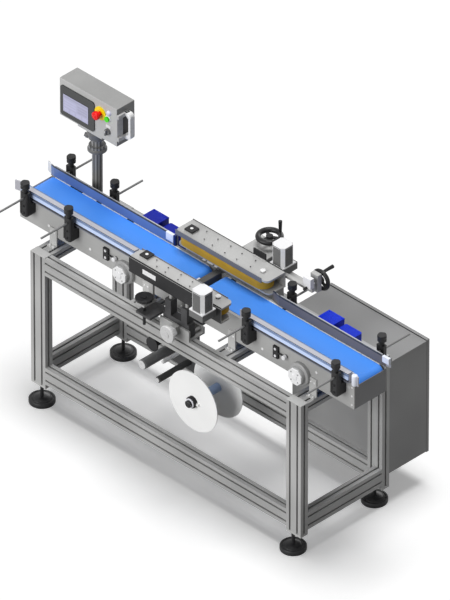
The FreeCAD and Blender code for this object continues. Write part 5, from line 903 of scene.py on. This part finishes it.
class LABELLER_OT_grippers(bpy.types.Operator):
    """Finish both side gripper units, their motors, wheels and knobs"""
    bl_idname = "labeller.grippers"
    bl_label = "Side grippers"

    def execute(self, context):
        colours = context.scene.labeller_colours
        sizes = context.scene.labeller_sizes
        plate = brushed_metal("gripper plate", shade(colours.plate, 1.12), "X", 0.34, 0.08)
        foam = foam_belt("gripper cover", tuple(colours.gripper_belt))
        steel = brushed_metal("pulley steel", (0.52, 0.52, 0.52), "Z", 0.28)
        black = moulded_plastic("wheel moulding", tuple(colours.black), 0.34)
        motor = self.motor_finish()
        for side in ("back", "front"):
            dress(side + "_gripper_frame", plate)
            dress(side + "_gripper_belt", foam)
            dress(side + "_drive_pulley", steel)
            dress(side + "_idler_pulley", steel)
            dress(side + "_gripper_motor", motor)
            self.unit(side, colours, sizes)
        dress("lift_column", plate)
        dress("lift_carriage", plate)
        dress("front_column", plate)
        dress("front_slide", moulded_plastic("slide block", (0.060, 0.060, 0.062), 0.45))
        for node in ("lift_handwheel", "width_handwheel"):
            dress(node, black)
        dress("front_lift_knob", black)
        dress("front_width_knob", gloss_plastic("pale knob", (0.60, 0.60, 0.60)))
        self.knobs(colours)
        rim = bmesh.new()
        x, y, z = JOINTS["lift_wheel_turn"]["pos_m"]
        low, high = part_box("lift_handwheel")
        add_ring(rim, (x, y, high.z - WHEEL_GRIP_LENGTH), 0.0505, 0.0128)
        add_piece("lift_wheel_rim", rim, black, "lift_wheel")
        return {"FINISHED"}

    def motor_finish(self):
        """Dark laminated body, white cap, flange and corner edges; the white of the cap and flange is a
        painted highlight.
        """
        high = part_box("back_gripper_motor")[1]
        flange_low, flange_high = high.z - 0.106, high.z - 0.100
        finish = Finish("motor body", (0.13, 0.13, 0.13), 0.42)
        height = finish.place("Z")
        cap = height > (high.z - 0.0079)
        flange = (height > (flange_low + 0.0002)) * (height < (flange_high + 0.0002))
        white = (cap + flange).clamped()
        speckle = finish.noise(500.0, detail=2.0)
        dark = finish.mix(speckle, (0.11, 0.11, 0.11), (0.17, 0.17, 0.17))
        # The white on the cap and flange is a painted highlight.
        finish.feed("Base Color", finish.mix(white, dark, (0.80, 0.80, 0.81)))
        finish.feed("Roughness", speckle * 0.2 + 0.34)
        return finish.bump(speckle, 0.0002, 0.3)

    def unit(self, side, colours, sizes):
        body = side + "_gripper"
        lane = -1 if side == "back" else 1
        boxes = loose_boxes(side + "_gripper_motor")
        casing = max(boxes, key=lambda corners: corners[1].z - corners[0].z)
        centre = (casing[0] + casing[1]) / 2.0
        span = casing[1].x - casing[0].x
        ribs = bmesh.new()
        chamfer = 0.015
        half = span / 2.0 + 0.0006
        cut = half - chamfer
        outline = [(half, -cut), (half, cut), (cut, half), (-cut, half), (-half, cut), (-half, -cut),
                   (-cut, -half), (cut, -half)]
        count = 14
        gap = (casing[1].z - casing[0].z) / count
        for step in range(count):
            z = casing[0].z + (step + 0.25) * gap
            add_prism(ribs, outline, (centre.x, centre.y, z), (1, 0, 0), (0, 1, 0), (0, 0, sizes.rib))
        add_piece(side + "_motor_ribs", ribs, moulded_plastic("lamination " + side, (0.15, 0.15, 0.15), 0.5),
                  body)
        edges = bmesh.new()
        for a in (-1, 1):
            for b in (-1, 1):
                corner = Vector((centre.x + a * (half - chamfer / 2.0), centre.y + b * (half - chamfer / 2.0),
                                 casing[0].z))
                along = Vector((a, -b, 0)).normalized()
                out = Vector((a, b, 0)).normalized()
                strip = [(-0.0103, -0.002), (0.0103, -0.002), (0.0103, 0.0016), (-0.0103, 0.0016)]
                add_prism(edges, strip, corner, along, out, (0, 0, casing[1].z - casing[0].z))
        add_piece(side + "_motor_edges", edges, gloss_plastic("motor edge " + side, (0.80, 0.80, 0.81)), body)
        self.plate_details(side, body, lane, colours)

    def plate_details(self, side, body, lane, colours):
        """Bearing cover, shaft end, small dark screws and the grey strip along the plate's lane edge."""
        frame_boxes = loose_boxes(side + "_gripper_frame")
        low, high = max((corners for corners in frame_boxes if corners[0].z > 1.08),
                        key=lambda corners: corners[1].x - corners[0].x)
        spin = {which: Vector(JOINTS["%s_%s_spin" % (side, which)]["pos_m"]) for which in ("drive", "idler")}
        black = moulded_plastic("bearing cover " + side, shade(colours.black, 0.6), 0.36)
        pale = brushed_metal("shaft end " + side, (0.80, 0.80, 0.80), "Z", 0.3, 0.05)
        cover = bmesh.new()
        ends = bmesh.new()
        dark_screws = bmesh.new()
        block_top = high.z + 0.006
        add_prism(cover, rounded_outline(0.0485, 0.0485, 0.003), (spin["idler"].x, spin["idler"].y, high.z),
                  (1, 0, 0), (0, 1, 0), (0, 0, block_top - high.z + 0.0012))
        add_turned(ends, (spin["idler"].x, spin["idler"].y, block_top + 0.0012), (0, 0, 1),
                   IDLER_SHAFT_END, 32)
        add_turned(ends, (spin["drive"].x, spin["drive"].y, high.z), (0, 0, 1),
                   DRIVE_SHAFT_END, 32)
        for share, across in PLATE_SCREWS:
            x = low.x + share * (high.x - low.x)
            y = low.y + across * (high.y - low.y)
            add_screw(dark_screws, (x, y, high.z - 0.0004), (0, 0, 1), 0.0036, 0.0014)
        add_piece(side + "_bearing_cover", cover, black, body, 0.0008)
        add_piece(side + "_shaft_ends", ends, pale, body)
        add_piece(side + "_plate_screws", dark_screws, black, body)
        self.edge_strip(side, body, lane, low, high)
        self.cover_skin(side, body, lane, low, high, min(corners[0].z for corners in frame_boxes
                                                         if corners[1].x - corners[0].x > 0.5))

    def edge_strip(self, side, body, lane, low, high):
        """Grey strip that covers the plate's lane edge down to the belt."""
        belt_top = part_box(side + "_gripper_belt")[1].z
        edge_y = low.y if lane < 0 else high.y
        first, last = sorted((edge_y + lane * 0.0016, edge_y - lane * 0.0004))
        guard = bmesh.new()
        add_block(guard, (low.x + 0.003, first, belt_top + 0.0008), (high.x - 0.034, last, high.z - 0.0006))
        add_piece(side + "_guard_strip", guard, powder_coat("guard strip " + side, (0.155, 0.155, 0.165)),
                  body, 0.0004)

    def cover_skin(self, side, body, lane, low, high, bottom):
        """Near-black sheet on the side away from the lane, with a white slot plate at the front."""
        far_y = low.y if lane > 0 else high.y
        boxes = [corners for corners in loose_boxes(side + "_gripper_frame")
                 if corners[1].x - corners[0].x > 0.5 and corners[0].z < 1.05]
        face_y = boxes[0][0].y if lane > 0 else boxes[0][1].y
        skin = bmesh.new()
        first, last = sorted((face_y, face_y - lane * 0.0006))
        add_block(skin, (low.x + 0.0005, first, bottom + 0.0005),
                  (high.x - 0.0005, last, boxes[0][1].z - 0.0005))
        first, last = sorted((far_y, far_y - lane * 0.0006))
        add_block(skin, (low.x + 0.0005, first, high.z - 0.0155), (high.x - 0.0005, last, high.z - 0.002))
        add_piece(side + "_cover_skin", skin, moulded_plastic("cover sheet " + side, (0.014, 0.014, 0.015)),
                  body)
        if side == "front":
            slot = bmesh.new()
            add_block(slot, (SLOT_PLATE[0], face_y - 0.0016, SLOT_PLATE[2]),
                      (SLOT_PLATE[1], face_y - 0.0004, SLOT_PLATE[3]))
            add_piece("front_slot_plate", slot, gloss_plastic("slot plate", (0.86, 0.86, 0.87)), body,
                      0.0005)
        else:
            stop = next(corners for corners in loose_boxes("back_gripper_frame")
                        if corners[1].z > high.z + 0.01)
            skin = bmesh.new()
            add_block(skin, stop[0] + Vector((-0.0006, -0.0006, 0.0065)),
                      stop[1] + Vector((0.0006, 0.0006, 0.0006)))
            add_piece("back_stop_skin", skin, moulded_plastic("stop plate skin", (0.010, 0.010, 0.011)), body,
                      0.0006)

    def knobs(self, colours):
        black = moulded_plastic("knob moulding", tuple(colours.black), 0.32)
        bm = bmesh.new()
        x, y, z = JOINTS["lift_knob_turn"]["pos_m"]
        add_turned(bm, (x, y, z + 0.0005), (0, 0, 1), LIFT_KNOB_RIM, 90, 18, 0.018)
        add_piece("front_lift_knob_rim", bm, black, "lift_knob")
        pale = gloss_plastic("pale knob rim", (0.66, 0.66, 0.66))
        x, y, z = JOINTS["width_knob_turn"]["pos_m"]
        bm = bmesh.new()
        add_turned(bm, (x, y, z), (0, 1, 0), WIDTH_KNOB_RIM, 96, 24, 0.012)
        add_piece("front_width_knob_rim", bm, pale, "width_knob")
        self.knob_blocks()

    def knob_blocks(self):
        """White hexagon behind the pale knob, white bearing of the width spindle."""
        white = gloss_plastic("spindle bearing", (0.86, 0.86, 0.87))
        x, y, z = JOINTS["width_knob_turn"]["pos_m"]
        hexagon = [(0.026 * math.cos(math.pi / 3.0 * step), 0.026 * math.sin(math.pi / 3.0 * step))
                   for step in range(6)]
        bm = bmesh.new()
        add_prism(bm, hexagon, (x, y + 0.016, z), (1, 0, 0), (0, 0, 1), (0, 0.026, 0))
        add_piece("width_knob_hexagon", bm, white, "width_knob", 0.0008)
        low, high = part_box("lift_carriage")
        bm = bmesh.new()
        add_block(bm, (high.x - 0.046, low.y - 0.0006, high.z - 0.052),
                  (high.x + 0.0006, low.y + 0.022, high.z + 0.0006))
        add_piece("width_bearing_block", bm, white, "back_lift", 0.0012)


class LABELLER_OT_panel(bpy.types.Operator):
    """Finish the operator panel: box, display, buttons, handle and swivel post"""
    bl_idname = "labeller.panel"
    bl_label = "Operator panel"

    def execute(self, context):
        colours = context.scene.labeller_colours
        dress("panel_box", self.box_sheet(colours))
        dress("panel_post", post_tube("post tube", shade(colours.sheet, 0.42)))
        dress("panel_handle", gloss_plastic("handle casting", (0.88, 0.88, 0.88)))
        dress("panel_screen", glass_face("bezel glass", (0.018, 0.020, 0.020)))
        dress("estop_collar", gloss_plastic("safety yellow", (0.98, 0.74, 0.008)))
        dress("estop_button", gloss_plastic("safety red", (0.86, 0.002, 0.002)))
        dress("start_button", gloss_plastic("start green", (0.07, 0.72, 0.008)))
        dress("selector_switch", moulded_plastic("selector", (0.17, 0.17, 0.17), 0.35))
        self.handle_sleeve()
        self.display(colours)
        self.controls()
        self.swivel()
        return {"FINISHED"}

    def box_sheet(self, colours):
        """Brushed sheet, darker on the lid and on the end with the handle by painted shade."""
        low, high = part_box("panel_box")
        finish = Finish("panel sheet", tuple(colours.sheet), 0.36, 0.06, specular=0.16)
        streaks = finish.noise(420.0, (0.02, 1.0, 1.0), 2.0)
        clouds = finish.noise(5.0, detail=3.0)
        tone = ((streaks - 0.5) * 0.14 + (clouds - 0.5) * 0.9 + 0.5).clamped()
        front = finish.mix(tone, shade(colours.sheet, 0.86), shade(colours.sheet, 1.22))
        # Painted shade: the lid and the end with the handle are darker than the front.
        lid = finish.mix(tone, shade(colours.sheet, 0.56), shade(colours.sheet, 0.76))
        end = finish.mix(tone, shade(colours.sheet, 0.44), shade(colours.sheet, 0.62))
        dressed = finish.mix(finish.place("Z") > high.z - PANEL_SKIN, front, lid)
        dressed = finish.mix(finish.place("X") > high.x - PANEL_SKIN, dressed, end)
        finish.feed("Base Color", dressed)
        finish.feed("Roughness", (clouds - 0.5) * 0.18 + streaks * 0.10 + 0.31)
        return finish.bump(streaks, 0.0003, 0.20)

    def handle_sleeve(self):
        """Thick cast loop of the side handle, its pale flange and the dark plate behind it, painted shade in
        the loop's opening.
        """
        low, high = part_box("panel_handle")
        middle = (low.y + high.y) / 2.0
        bm = bmesh.new()
        rings = []
        for y in (middle - 0.014, middle + 0.014):
            for outline in (HANDLE_OUTER, HANDLE_INNER):
                rings.append([bm.verts.new((low.x + a, y, (low.z + high.z) / 2.0 + b)) for a, b in outline])
        near_outer, near_inner, far_outer, far_inner = rings
        last = len(HANDLE_OUTER) - 1
        for index in range(last):
            after = index + 1
            bm.faces.new((near_outer[index], near_outer[after], near_inner[after], near_inner[index]))
            bm.faces.new((far_outer[after], far_outer[index], far_inner[index], far_inner[after]))
            bm.faces.new((near_outer[after], near_outer[index], far_outer[index], far_outer[after]))
            bm.faces.new((near_inner[index], near_inner[after], far_inner[after], far_inner[index]))
        for index in (0, last):
            bm.faces.new((near_outer[index], near_inner[index], far_inner[index], far_outer[index]))
        add_piece("handle_sleeve", bm, gloss_plastic("handle sleeve", (0.86, 0.86, 0.86)), "panel",
                  0.0012)
        # A dark plate in the handle's opening: painted shade of the recess.
        plate = bmesh.new()
        add_block(plate, (low.x - 0.0004, middle - 0.022, low.z + 0.004),
                  (low.x + 0.0012, middle + 0.022, high.z - 0.004))
        dark = brushed_metal("handle opening painted shade", (0.055, 0.055, 0.055), "Z", 0.4)
        add_piece("handle_opening_painted_shade", plate, dark, "panel", 0.0004)
        flange = bmesh.new()
        centre_z = (low.z + high.z) / 2.0
        left = middle - HANDLE_FLANGE
        add_block(flange, (low.x - 0.0004, left, centre_z - 0.064),
                  (low.x + 0.003, middle - 0.020, centre_z + 0.064))
        for first, last in ((-0.069, -0.050), (0.050, 0.069)):
            add_block(flange, (low.x, left, centre_z + first),
                      (low.x + 0.012, middle - 0.012, centre_z + last))
        pale = gloss_plastic("handle flange", (0.50, 0.50, 0.50))
        add_piece("handle_flange", flange, pale, "panel", 0.0012)

    def display(self, colours):
        """Lit face with plain blocks where controls would stand."""
        low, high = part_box("panel_screen")
        face = low.y
        left, right = low.x + 0.019, low.x + 0.175
        bottom, top = low.z + 0.026, low.z + 0.116
        lit = bmesh.new()
        add_block(lit, (left, face - 0.0003, bottom), (right, face + 0.0004, top))
        add_piece("display_face", lit, glass_face("display light", tuple(colours.screen), 0.35), "panel")
        blocks = bmesh.new()
        pale = bmesh.new()
        add_block(blocks, (left + 0.003, face - 0.0006, top - 0.014), (right - 0.003, face, top - 0.004))
        for column in range(4):
            x = left + 0.006 + column * 0.038
            add_block(pale, (x, face - 0.0006, bottom + 0.006), (x + 0.030, face, bottom + 0.022))
        for row in range(3):
            z = bottom + 0.030 + row * 0.014
            add_block(pale, (left + 0.006, face - 0.0006, z), (left + 0.080, face, z + 0.009))
            add_block(blocks, (left + 0.090, face - 0.0006, z), (right - 0.008, face, z + 0.009))
        add_piece("display_bars", blocks, glass_face("display bar", shade(colours.screen, 0.86), 0.35),
                  "panel")
        add_piece("display_fields", pale, glass_face("display field", shade(colours.screen, 1.12), 0.35),
                  "panel")

    def controls(self):
        """Rings and markers round the buttons, and the pilot lamp above them."""
        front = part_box("panel_box")[0].y
        white = gloss_plastic("control ring", (0.82, 0.82, 0.84))
        rings = bmesh.new()
        start_low, start_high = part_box("start_button")
        start = (start_low + start_high) / 2.0
        select_low, select_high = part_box("selector_switch")
        select = (select_low + select_high) / 2.0
        add_turned(rings, (start.x, front, start.z), (0, -1, 0),
                   START_RING, 40)
        add_block(rings, (select.x - 0.014, front - 0.0015, select.z + 0.019),
                  (select.x + 0.014, front + 0.0005, select.z + 0.032))
        add_piece("control_rings", rings, white, "panel", 0.0004)
        lamp = bmesh.new()
        add_turned(lamp, (start.x + 0.006, front, start.z + 0.032), (0, -1, 0),
                   PILOT_LAMP, 40)
        add_piece("pilot_lamp", lamp, gloss_plastic("pilot lens", (0.66, 0.66, 0.80)), "panel")
        low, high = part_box("estop_button")
        arrow = bmesh.new()
        centre = (low + high) / 2.0
        add_turned(arrow, (centre.x, low.y, centre.z), (0, -1, 0),
                   ESTOP_DOME, 40)
        add_piece("estop_dome", arrow, gloss_plastic("red dome", (0.86, 0.002, 0.002)), "estop")
        grip = bmesh.new()
        add_block(grip, (select.x - 0.0014, select_low.y - 0.0006, select.z + 0.001),
                  (select.x + 0.0014, select_low.y + 0.001, select.z + 0.0125))
        add_piece("selector_marker", grip, white, "selector")

    def swivel(self):
        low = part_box("panel_box")[0]
        x, y, z = JOINTS["panel_swivel"]["pos_m"]
        dark = brushed_metal("swivel casting", (0.17, 0.17, 0.17), "Z", 0.4, 0.16)
        bm = bmesh.new()
        add_turned(bm, (x, y, z - 0.050), (0, 0, 1),
                   SWIVEL_CONE, 48)
        add_turned(bm, (x, y, z - 0.113), (0, 0, 1),
                   SWIVEL_COLLAR, 48)
        add_turned(bm, (x - 0.028, y - 0.024, z - 0.040), (-0.8, -0.45, 0.25),
                   SWIVEL_LEVER, 6)
        add_piece("swivel_neck", bm, dark, "root", 0.0006)
        screws = bmesh.new()
        for a in (-1, 1):
            for b in (-1, 1):
                add_screw(screws, (x + a * 0.064, y + b * 0.036, low.z), (0, 0, -1), 0.005, 0.003)
        handle_low, handle_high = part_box("panel_handle")
        handle_x = handle_low.x + 0.006
        for z in (handle_low.z, handle_high.z):
            out = -1 if z == handle_low.z else 1
            add_screw(screws, (handle_x + 0.004, (handle_low.y + handle_high.y) / 2.0, z), (0, 0, out),
                      0.004, 0.002)
        add_piece("panel_screws", screws, brushed_metal("panel screw", (0.5, 0.5, 0.5), "Z", 0.3), "panel")


class LABELLER_OT_cabinet(bpy.types.Operator):
    """Finish the electrical cabinet, its door and lock"""
    bl_idname = "labeller.cabinet"
    bl_label = "Cabinet"

    def execute(self, context):
        colours = context.scene.labeller_colours
        sheet = brushed_metal("cabinet sheet", tuple(colours.cabinet), "Z", 0.40, 0.05)
        dress("cabinet_body", sheet)
        dress("cabinet_door", sheet)
        dress("door_lock", moulded_plastic("lock", tuple(colours.black), 0.3))
        low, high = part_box("cabinet_body")
        glands = bmesh.new()
        for step in range(4):
            x = low.x + 0.20 + step * 0.055
            add_turned(glands, (x, (low.y + high.y) / 2.0, low.z), (0, 0, -1),
                       CABLE_GLAND, 24,
                       6, 0.04)
        add_piece("cable_glands", glands, moulded_plastic("gland", shade(colours.black, 1.5), 0.4), "root")
        return {"FINISHED"}


class LABELLER_OT_label_head(bpy.types.Operator):
    """Finish the label head: reel, rollers, spool and peel plate"""
    bl_idname = "labeller.label_head"
    bl_label = "Label head"

    def execute(self, context):
        colours = context.scene.labeller_colours
        dress("label_head_frame", powder_coat("head plate", (0.06, 0.06, 0.062), 0.45))
        dress("label_reel", powder_coat("reel disc", (0.95, 0.95, 0.945), 0.5))
        dress("pull_roller", moulded_plastic("pull rubber", (0.20, 0.20, 0.20), 0.6, 600.0))
        dress("dancer_roller", moulded_plastic("dancer sleeve", (0.06, 0.06, 0.06), 0.5))
        dress("web_roller", gloss_plastic("web roller", (0.72, 0.72, 0.72)))
        dress("rewind_spool", moulded_plastic("rewind", tuple(colours.black), 0.4))
        dress("peel_plate", brushed_metal("peel steel", (0.11, 0.11, 0.11), "Y", 0.3))
        low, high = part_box("peel_plate")
        strip = bmesh.new()
        add_block(strip, (low.x - 0.0075, low.y + 0.002, high.z - 0.006), (low.x + 0.0005, LANE_Y - 0.004,
                                                                          high.z + 0.0006))
        add_piece("peel_plate_strip", strip, gloss_plastic("peel strip", (0.88, 0.88, 0.88)), "root",
                  0.0004)
        x, y, z = JOINTS["reel_spin"]["pos_m"]
        disc_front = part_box("label_reel")[0].y + 0.034
        sleeve = bmesh.new()
        add_turned(sleeve, (x, disc_front + 0.0035, z), (0, 1, 0), [(0.0208, 0.0), (0.0208, 0.153)], 48)
        add_piece("core_sleeve", sleeve, gloss_plastic("core sleeve", (0.36, 0.48, 0.72)), "reel")
        hub = bmesh.new()
        add_turned(hub, (x, disc_front, z), (0, -1, 0),
                   REEL_HUB, 60, 12, 0.012)
        add_piece("hub_knob", hub, moulded_plastic("hub knob", tuple(colours.black), 0.35), "reel")
        ring = bmesh.new()
        add_turned(ring, (x, disc_front - 0.0172, z), (0, -1, 0),
                   REEL_HUB_RING, 60)
        add_piece("hub_ring", ring, gloss_plastic("hub ring", (0.80, 0.80, 0.86)), "reel")
        self.roller_ends()
        return {"FINISHED"}

    def roller_ends(self):
        """Pale end faces on the pull and dancer rollers."""
        pale = brushed_metal("roller end", (0.62, 0.62, 0.62), "X", 0.3, 0.05)
        for node, body, share in (("pull_roller", "pull", 0.86), ("dancer_roller", "dancer", 0.70)):
            low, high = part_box(node)
            centre = (low + high) / 2.0
            radius = (high.x - low.x) / 2.0
            bm = bmesh.new()
            add_turned(bm, (centre.x, low.y, centre.z), (0, -1, 0),
                       [(radius * share, -0.001), (radius * share, 0.0008), (radius * 0.35, 0.0012),
                        (radius * 0.30, 0.0004)], 40)
            add_piece(node + "_end_face", bm, pale, body)


class LABELLER_OT_stage(bpy.types.Operator):
    """Make the floor, the lights and the camera"""
    bl_idname = "labeller.stage"
    bl_label = "Stage"

    def execute(self, context):
        stage = context.scene.labeller_stage
        self.lights(context, stage, self.floor(stage))
        self.camera(context, stage)
        return {"FINISHED"}

    def floor(self, stage):
        """White to the camera and in reflections, darker as a source of bounced light."""
        bm = bmesh.new()
        reach = stage.floor_reach
        bm.faces.new([bm.verts.new((x, y, 0.0)) for x, y in ((-reach, -reach), (reach, -reach),
                                                             (reach, reach), (-reach, reach))])
        mesh = bpy.data.meshes.new("floor")
        bm.to_mesh(mesh)
        bm.free()
        floor = bpy.data.objects.new("floor", mesh)
        bpy.context.scene.collection.objects.link(floor)
        finish = Finish("studio floor", tuple(stage.floor), 0.9, specular=0.0)
        seen = self.seen(finish)
        finish.feed("Base Color", finish.mix(seen, tuple(stage.floor_bounce), tuple(stage.floor)))
        finish.feed("Emission Color", finish.mix(seen, (0.0, 0.0, 0.0), (1.0, 1.0, 1.0)))
        finish.feed("Emission Strength", stage.floor_glow)
        mesh.materials.append(finish.material)
        return floor

    def seen(self, finish):
        """1 on rays from the camera, in reflections and through clear parts."""
        camera, glossy, clear = [finish.add("LightPath", output=name) for name in
                                 ("Is Camera Ray", "Is Glossy Ray", "Is Transmission Ray")]
        return (camera + glossy + clear).clamped()

    def lights(self, context, stage, floor):
        """Even light from all round, a lamp overhead, and front and rear lamps that skip the floor."""
        world = bpy.data.worlds.new("studio")
        context.scene.world = world
        world.use_nodes = True
        sky = TreeMaker(world.node_tree)
        background = world.node_tree.nodes["Background"]
        sky.connect(background.inputs["Color"], sky.mix(self.seen(sky), tuple(stage.fill), (1.0, 1.0, 1.0)))
        background.inputs["Strength"].default_value = 1.0
        self.sun(context, "overhead", stage.overhead, stage.overhead_angle, OVERHEAD_DIRECTION)
        skipped = bpy.data.collections.new("lamps skip")
        skipped.objects.link(floor)
        skipped.collection_objects[0].light_linking.link_state = "EXCLUDE"
        for name, strength, direction in (("front", stage.front, FRONT_DIRECTION),
                                          ("rear", stage.rear, REAR_DIRECTION)):
            lamp = self.sun(context, name, strength, stage.front_angle, direction)
            lamp.light_linking.receiver_collection = skipped

    def sun(self, context, name, strength, angle, direction):
        sun = bpy.data.lights.new(name, "SUN")
        sun.energy = strength
        sun.angle = angle
        lamp = bpy.data.objects.new(name, sun)
        lamp.rotation_mode = "QUATERNION"
        lamp.rotation_quaternion = Vector(direction).to_track_quat("-Z", "Y")
        context.scene.collection.objects.link(lamp)
        return lamp

    def camera(self, context, stage):
        azimuth, elevation = math.radians(VIEW_AZIMUTH), math.radians(VIEW_ELEVATION)
        back = Vector((math.sin(azimuth) * math.cos(elevation), -math.cos(azimuth) * math.cos(elevation),
                       math.sin(elevation)))
        data = bpy.data.cameras.new("camera")
        data.lens = stage.lens
        data.sensor_width = SENSOR
        distance = PICTURE_HEIGHT * stage.lens / SENSOR
        data.clip_start = distance * 0.5
        data.clip_end = distance * 2.0
        camera = bpy.data.objects.new("camera", data)
        camera.rotation_mode = "QUATERNION"
        camera.rotation_quaternion = (-back).to_track_quat("-Z", "Y")
        camera.location = VIEW_TARGET + back * distance
        context.scene.collection.objects.link(camera)
        context.scene.camera = camera
        context.scene.view_settings.view_transform = "Standard"


PIECE_OPERATORS = (
    LABELLER_OT_frame,
    LABELLER_OT_conveyors,
    LABELLER_OT_guides,
    LABELLER_OT_grippers,
    LABELLER_OT_panel,
    LABELLER_OT_cabinet,
    LABELLER_OT_label_head,
    LABELLER_OT_stage,
)


class LABELLER_PT_sidebar(bpy.types.Panel):
    """Settings and steps of the labelling machine"""
    bl_idname = "LABELLER_PT_sidebar"
    bl_label = "Labelling machine"
    bl_space_type = "VIEW_3D"
    bl_region_type = "UI"
    bl_category = "Labeller"

    def draw(self, context):
        for group in settings():
            box = self.layout.box()
            for name in group.__annotations__:
                box.prop(group, name)
        for operator in PIECE_OPERATORS:
            self.layout.operator(operator.bl_idname)


GROUPS = (LabellerColours, LabellerSizes, LabellerStage)
CLASSES = GROUPS + PIECE_OPERATORS + (LABELLER_PT_sidebar,)


def register():
    for item in CLASSES:
        bpy.utils.register_class(item)
    bpy.types.Scene.labeller_colours = bpy.props.PointerProperty(type=LabellerColours)
    bpy.types.Scene.labeller_sizes = bpy.props.PointerProperty(type=LabellerSizes)
    bpy.types.Scene.labeller_stage = bpy.props.PointerProperty(type=LabellerStage)


def unregister():
    del bpy.types.Scene.labeller_colours
    del bpy.types.Scene.labeller_sizes
    del bpy.types.Scene.labeller_stage
    for item in reversed(CLASSES):
        bpy.utils.unregister_class(item)


def main():
    register()
    for operator in PIECE_OPERATORS:
        group, name = operator.bl_idname.split(".")
        getattr(getattr(bpy.ops, group), name)()


if __name__ == "__main__":
    main()
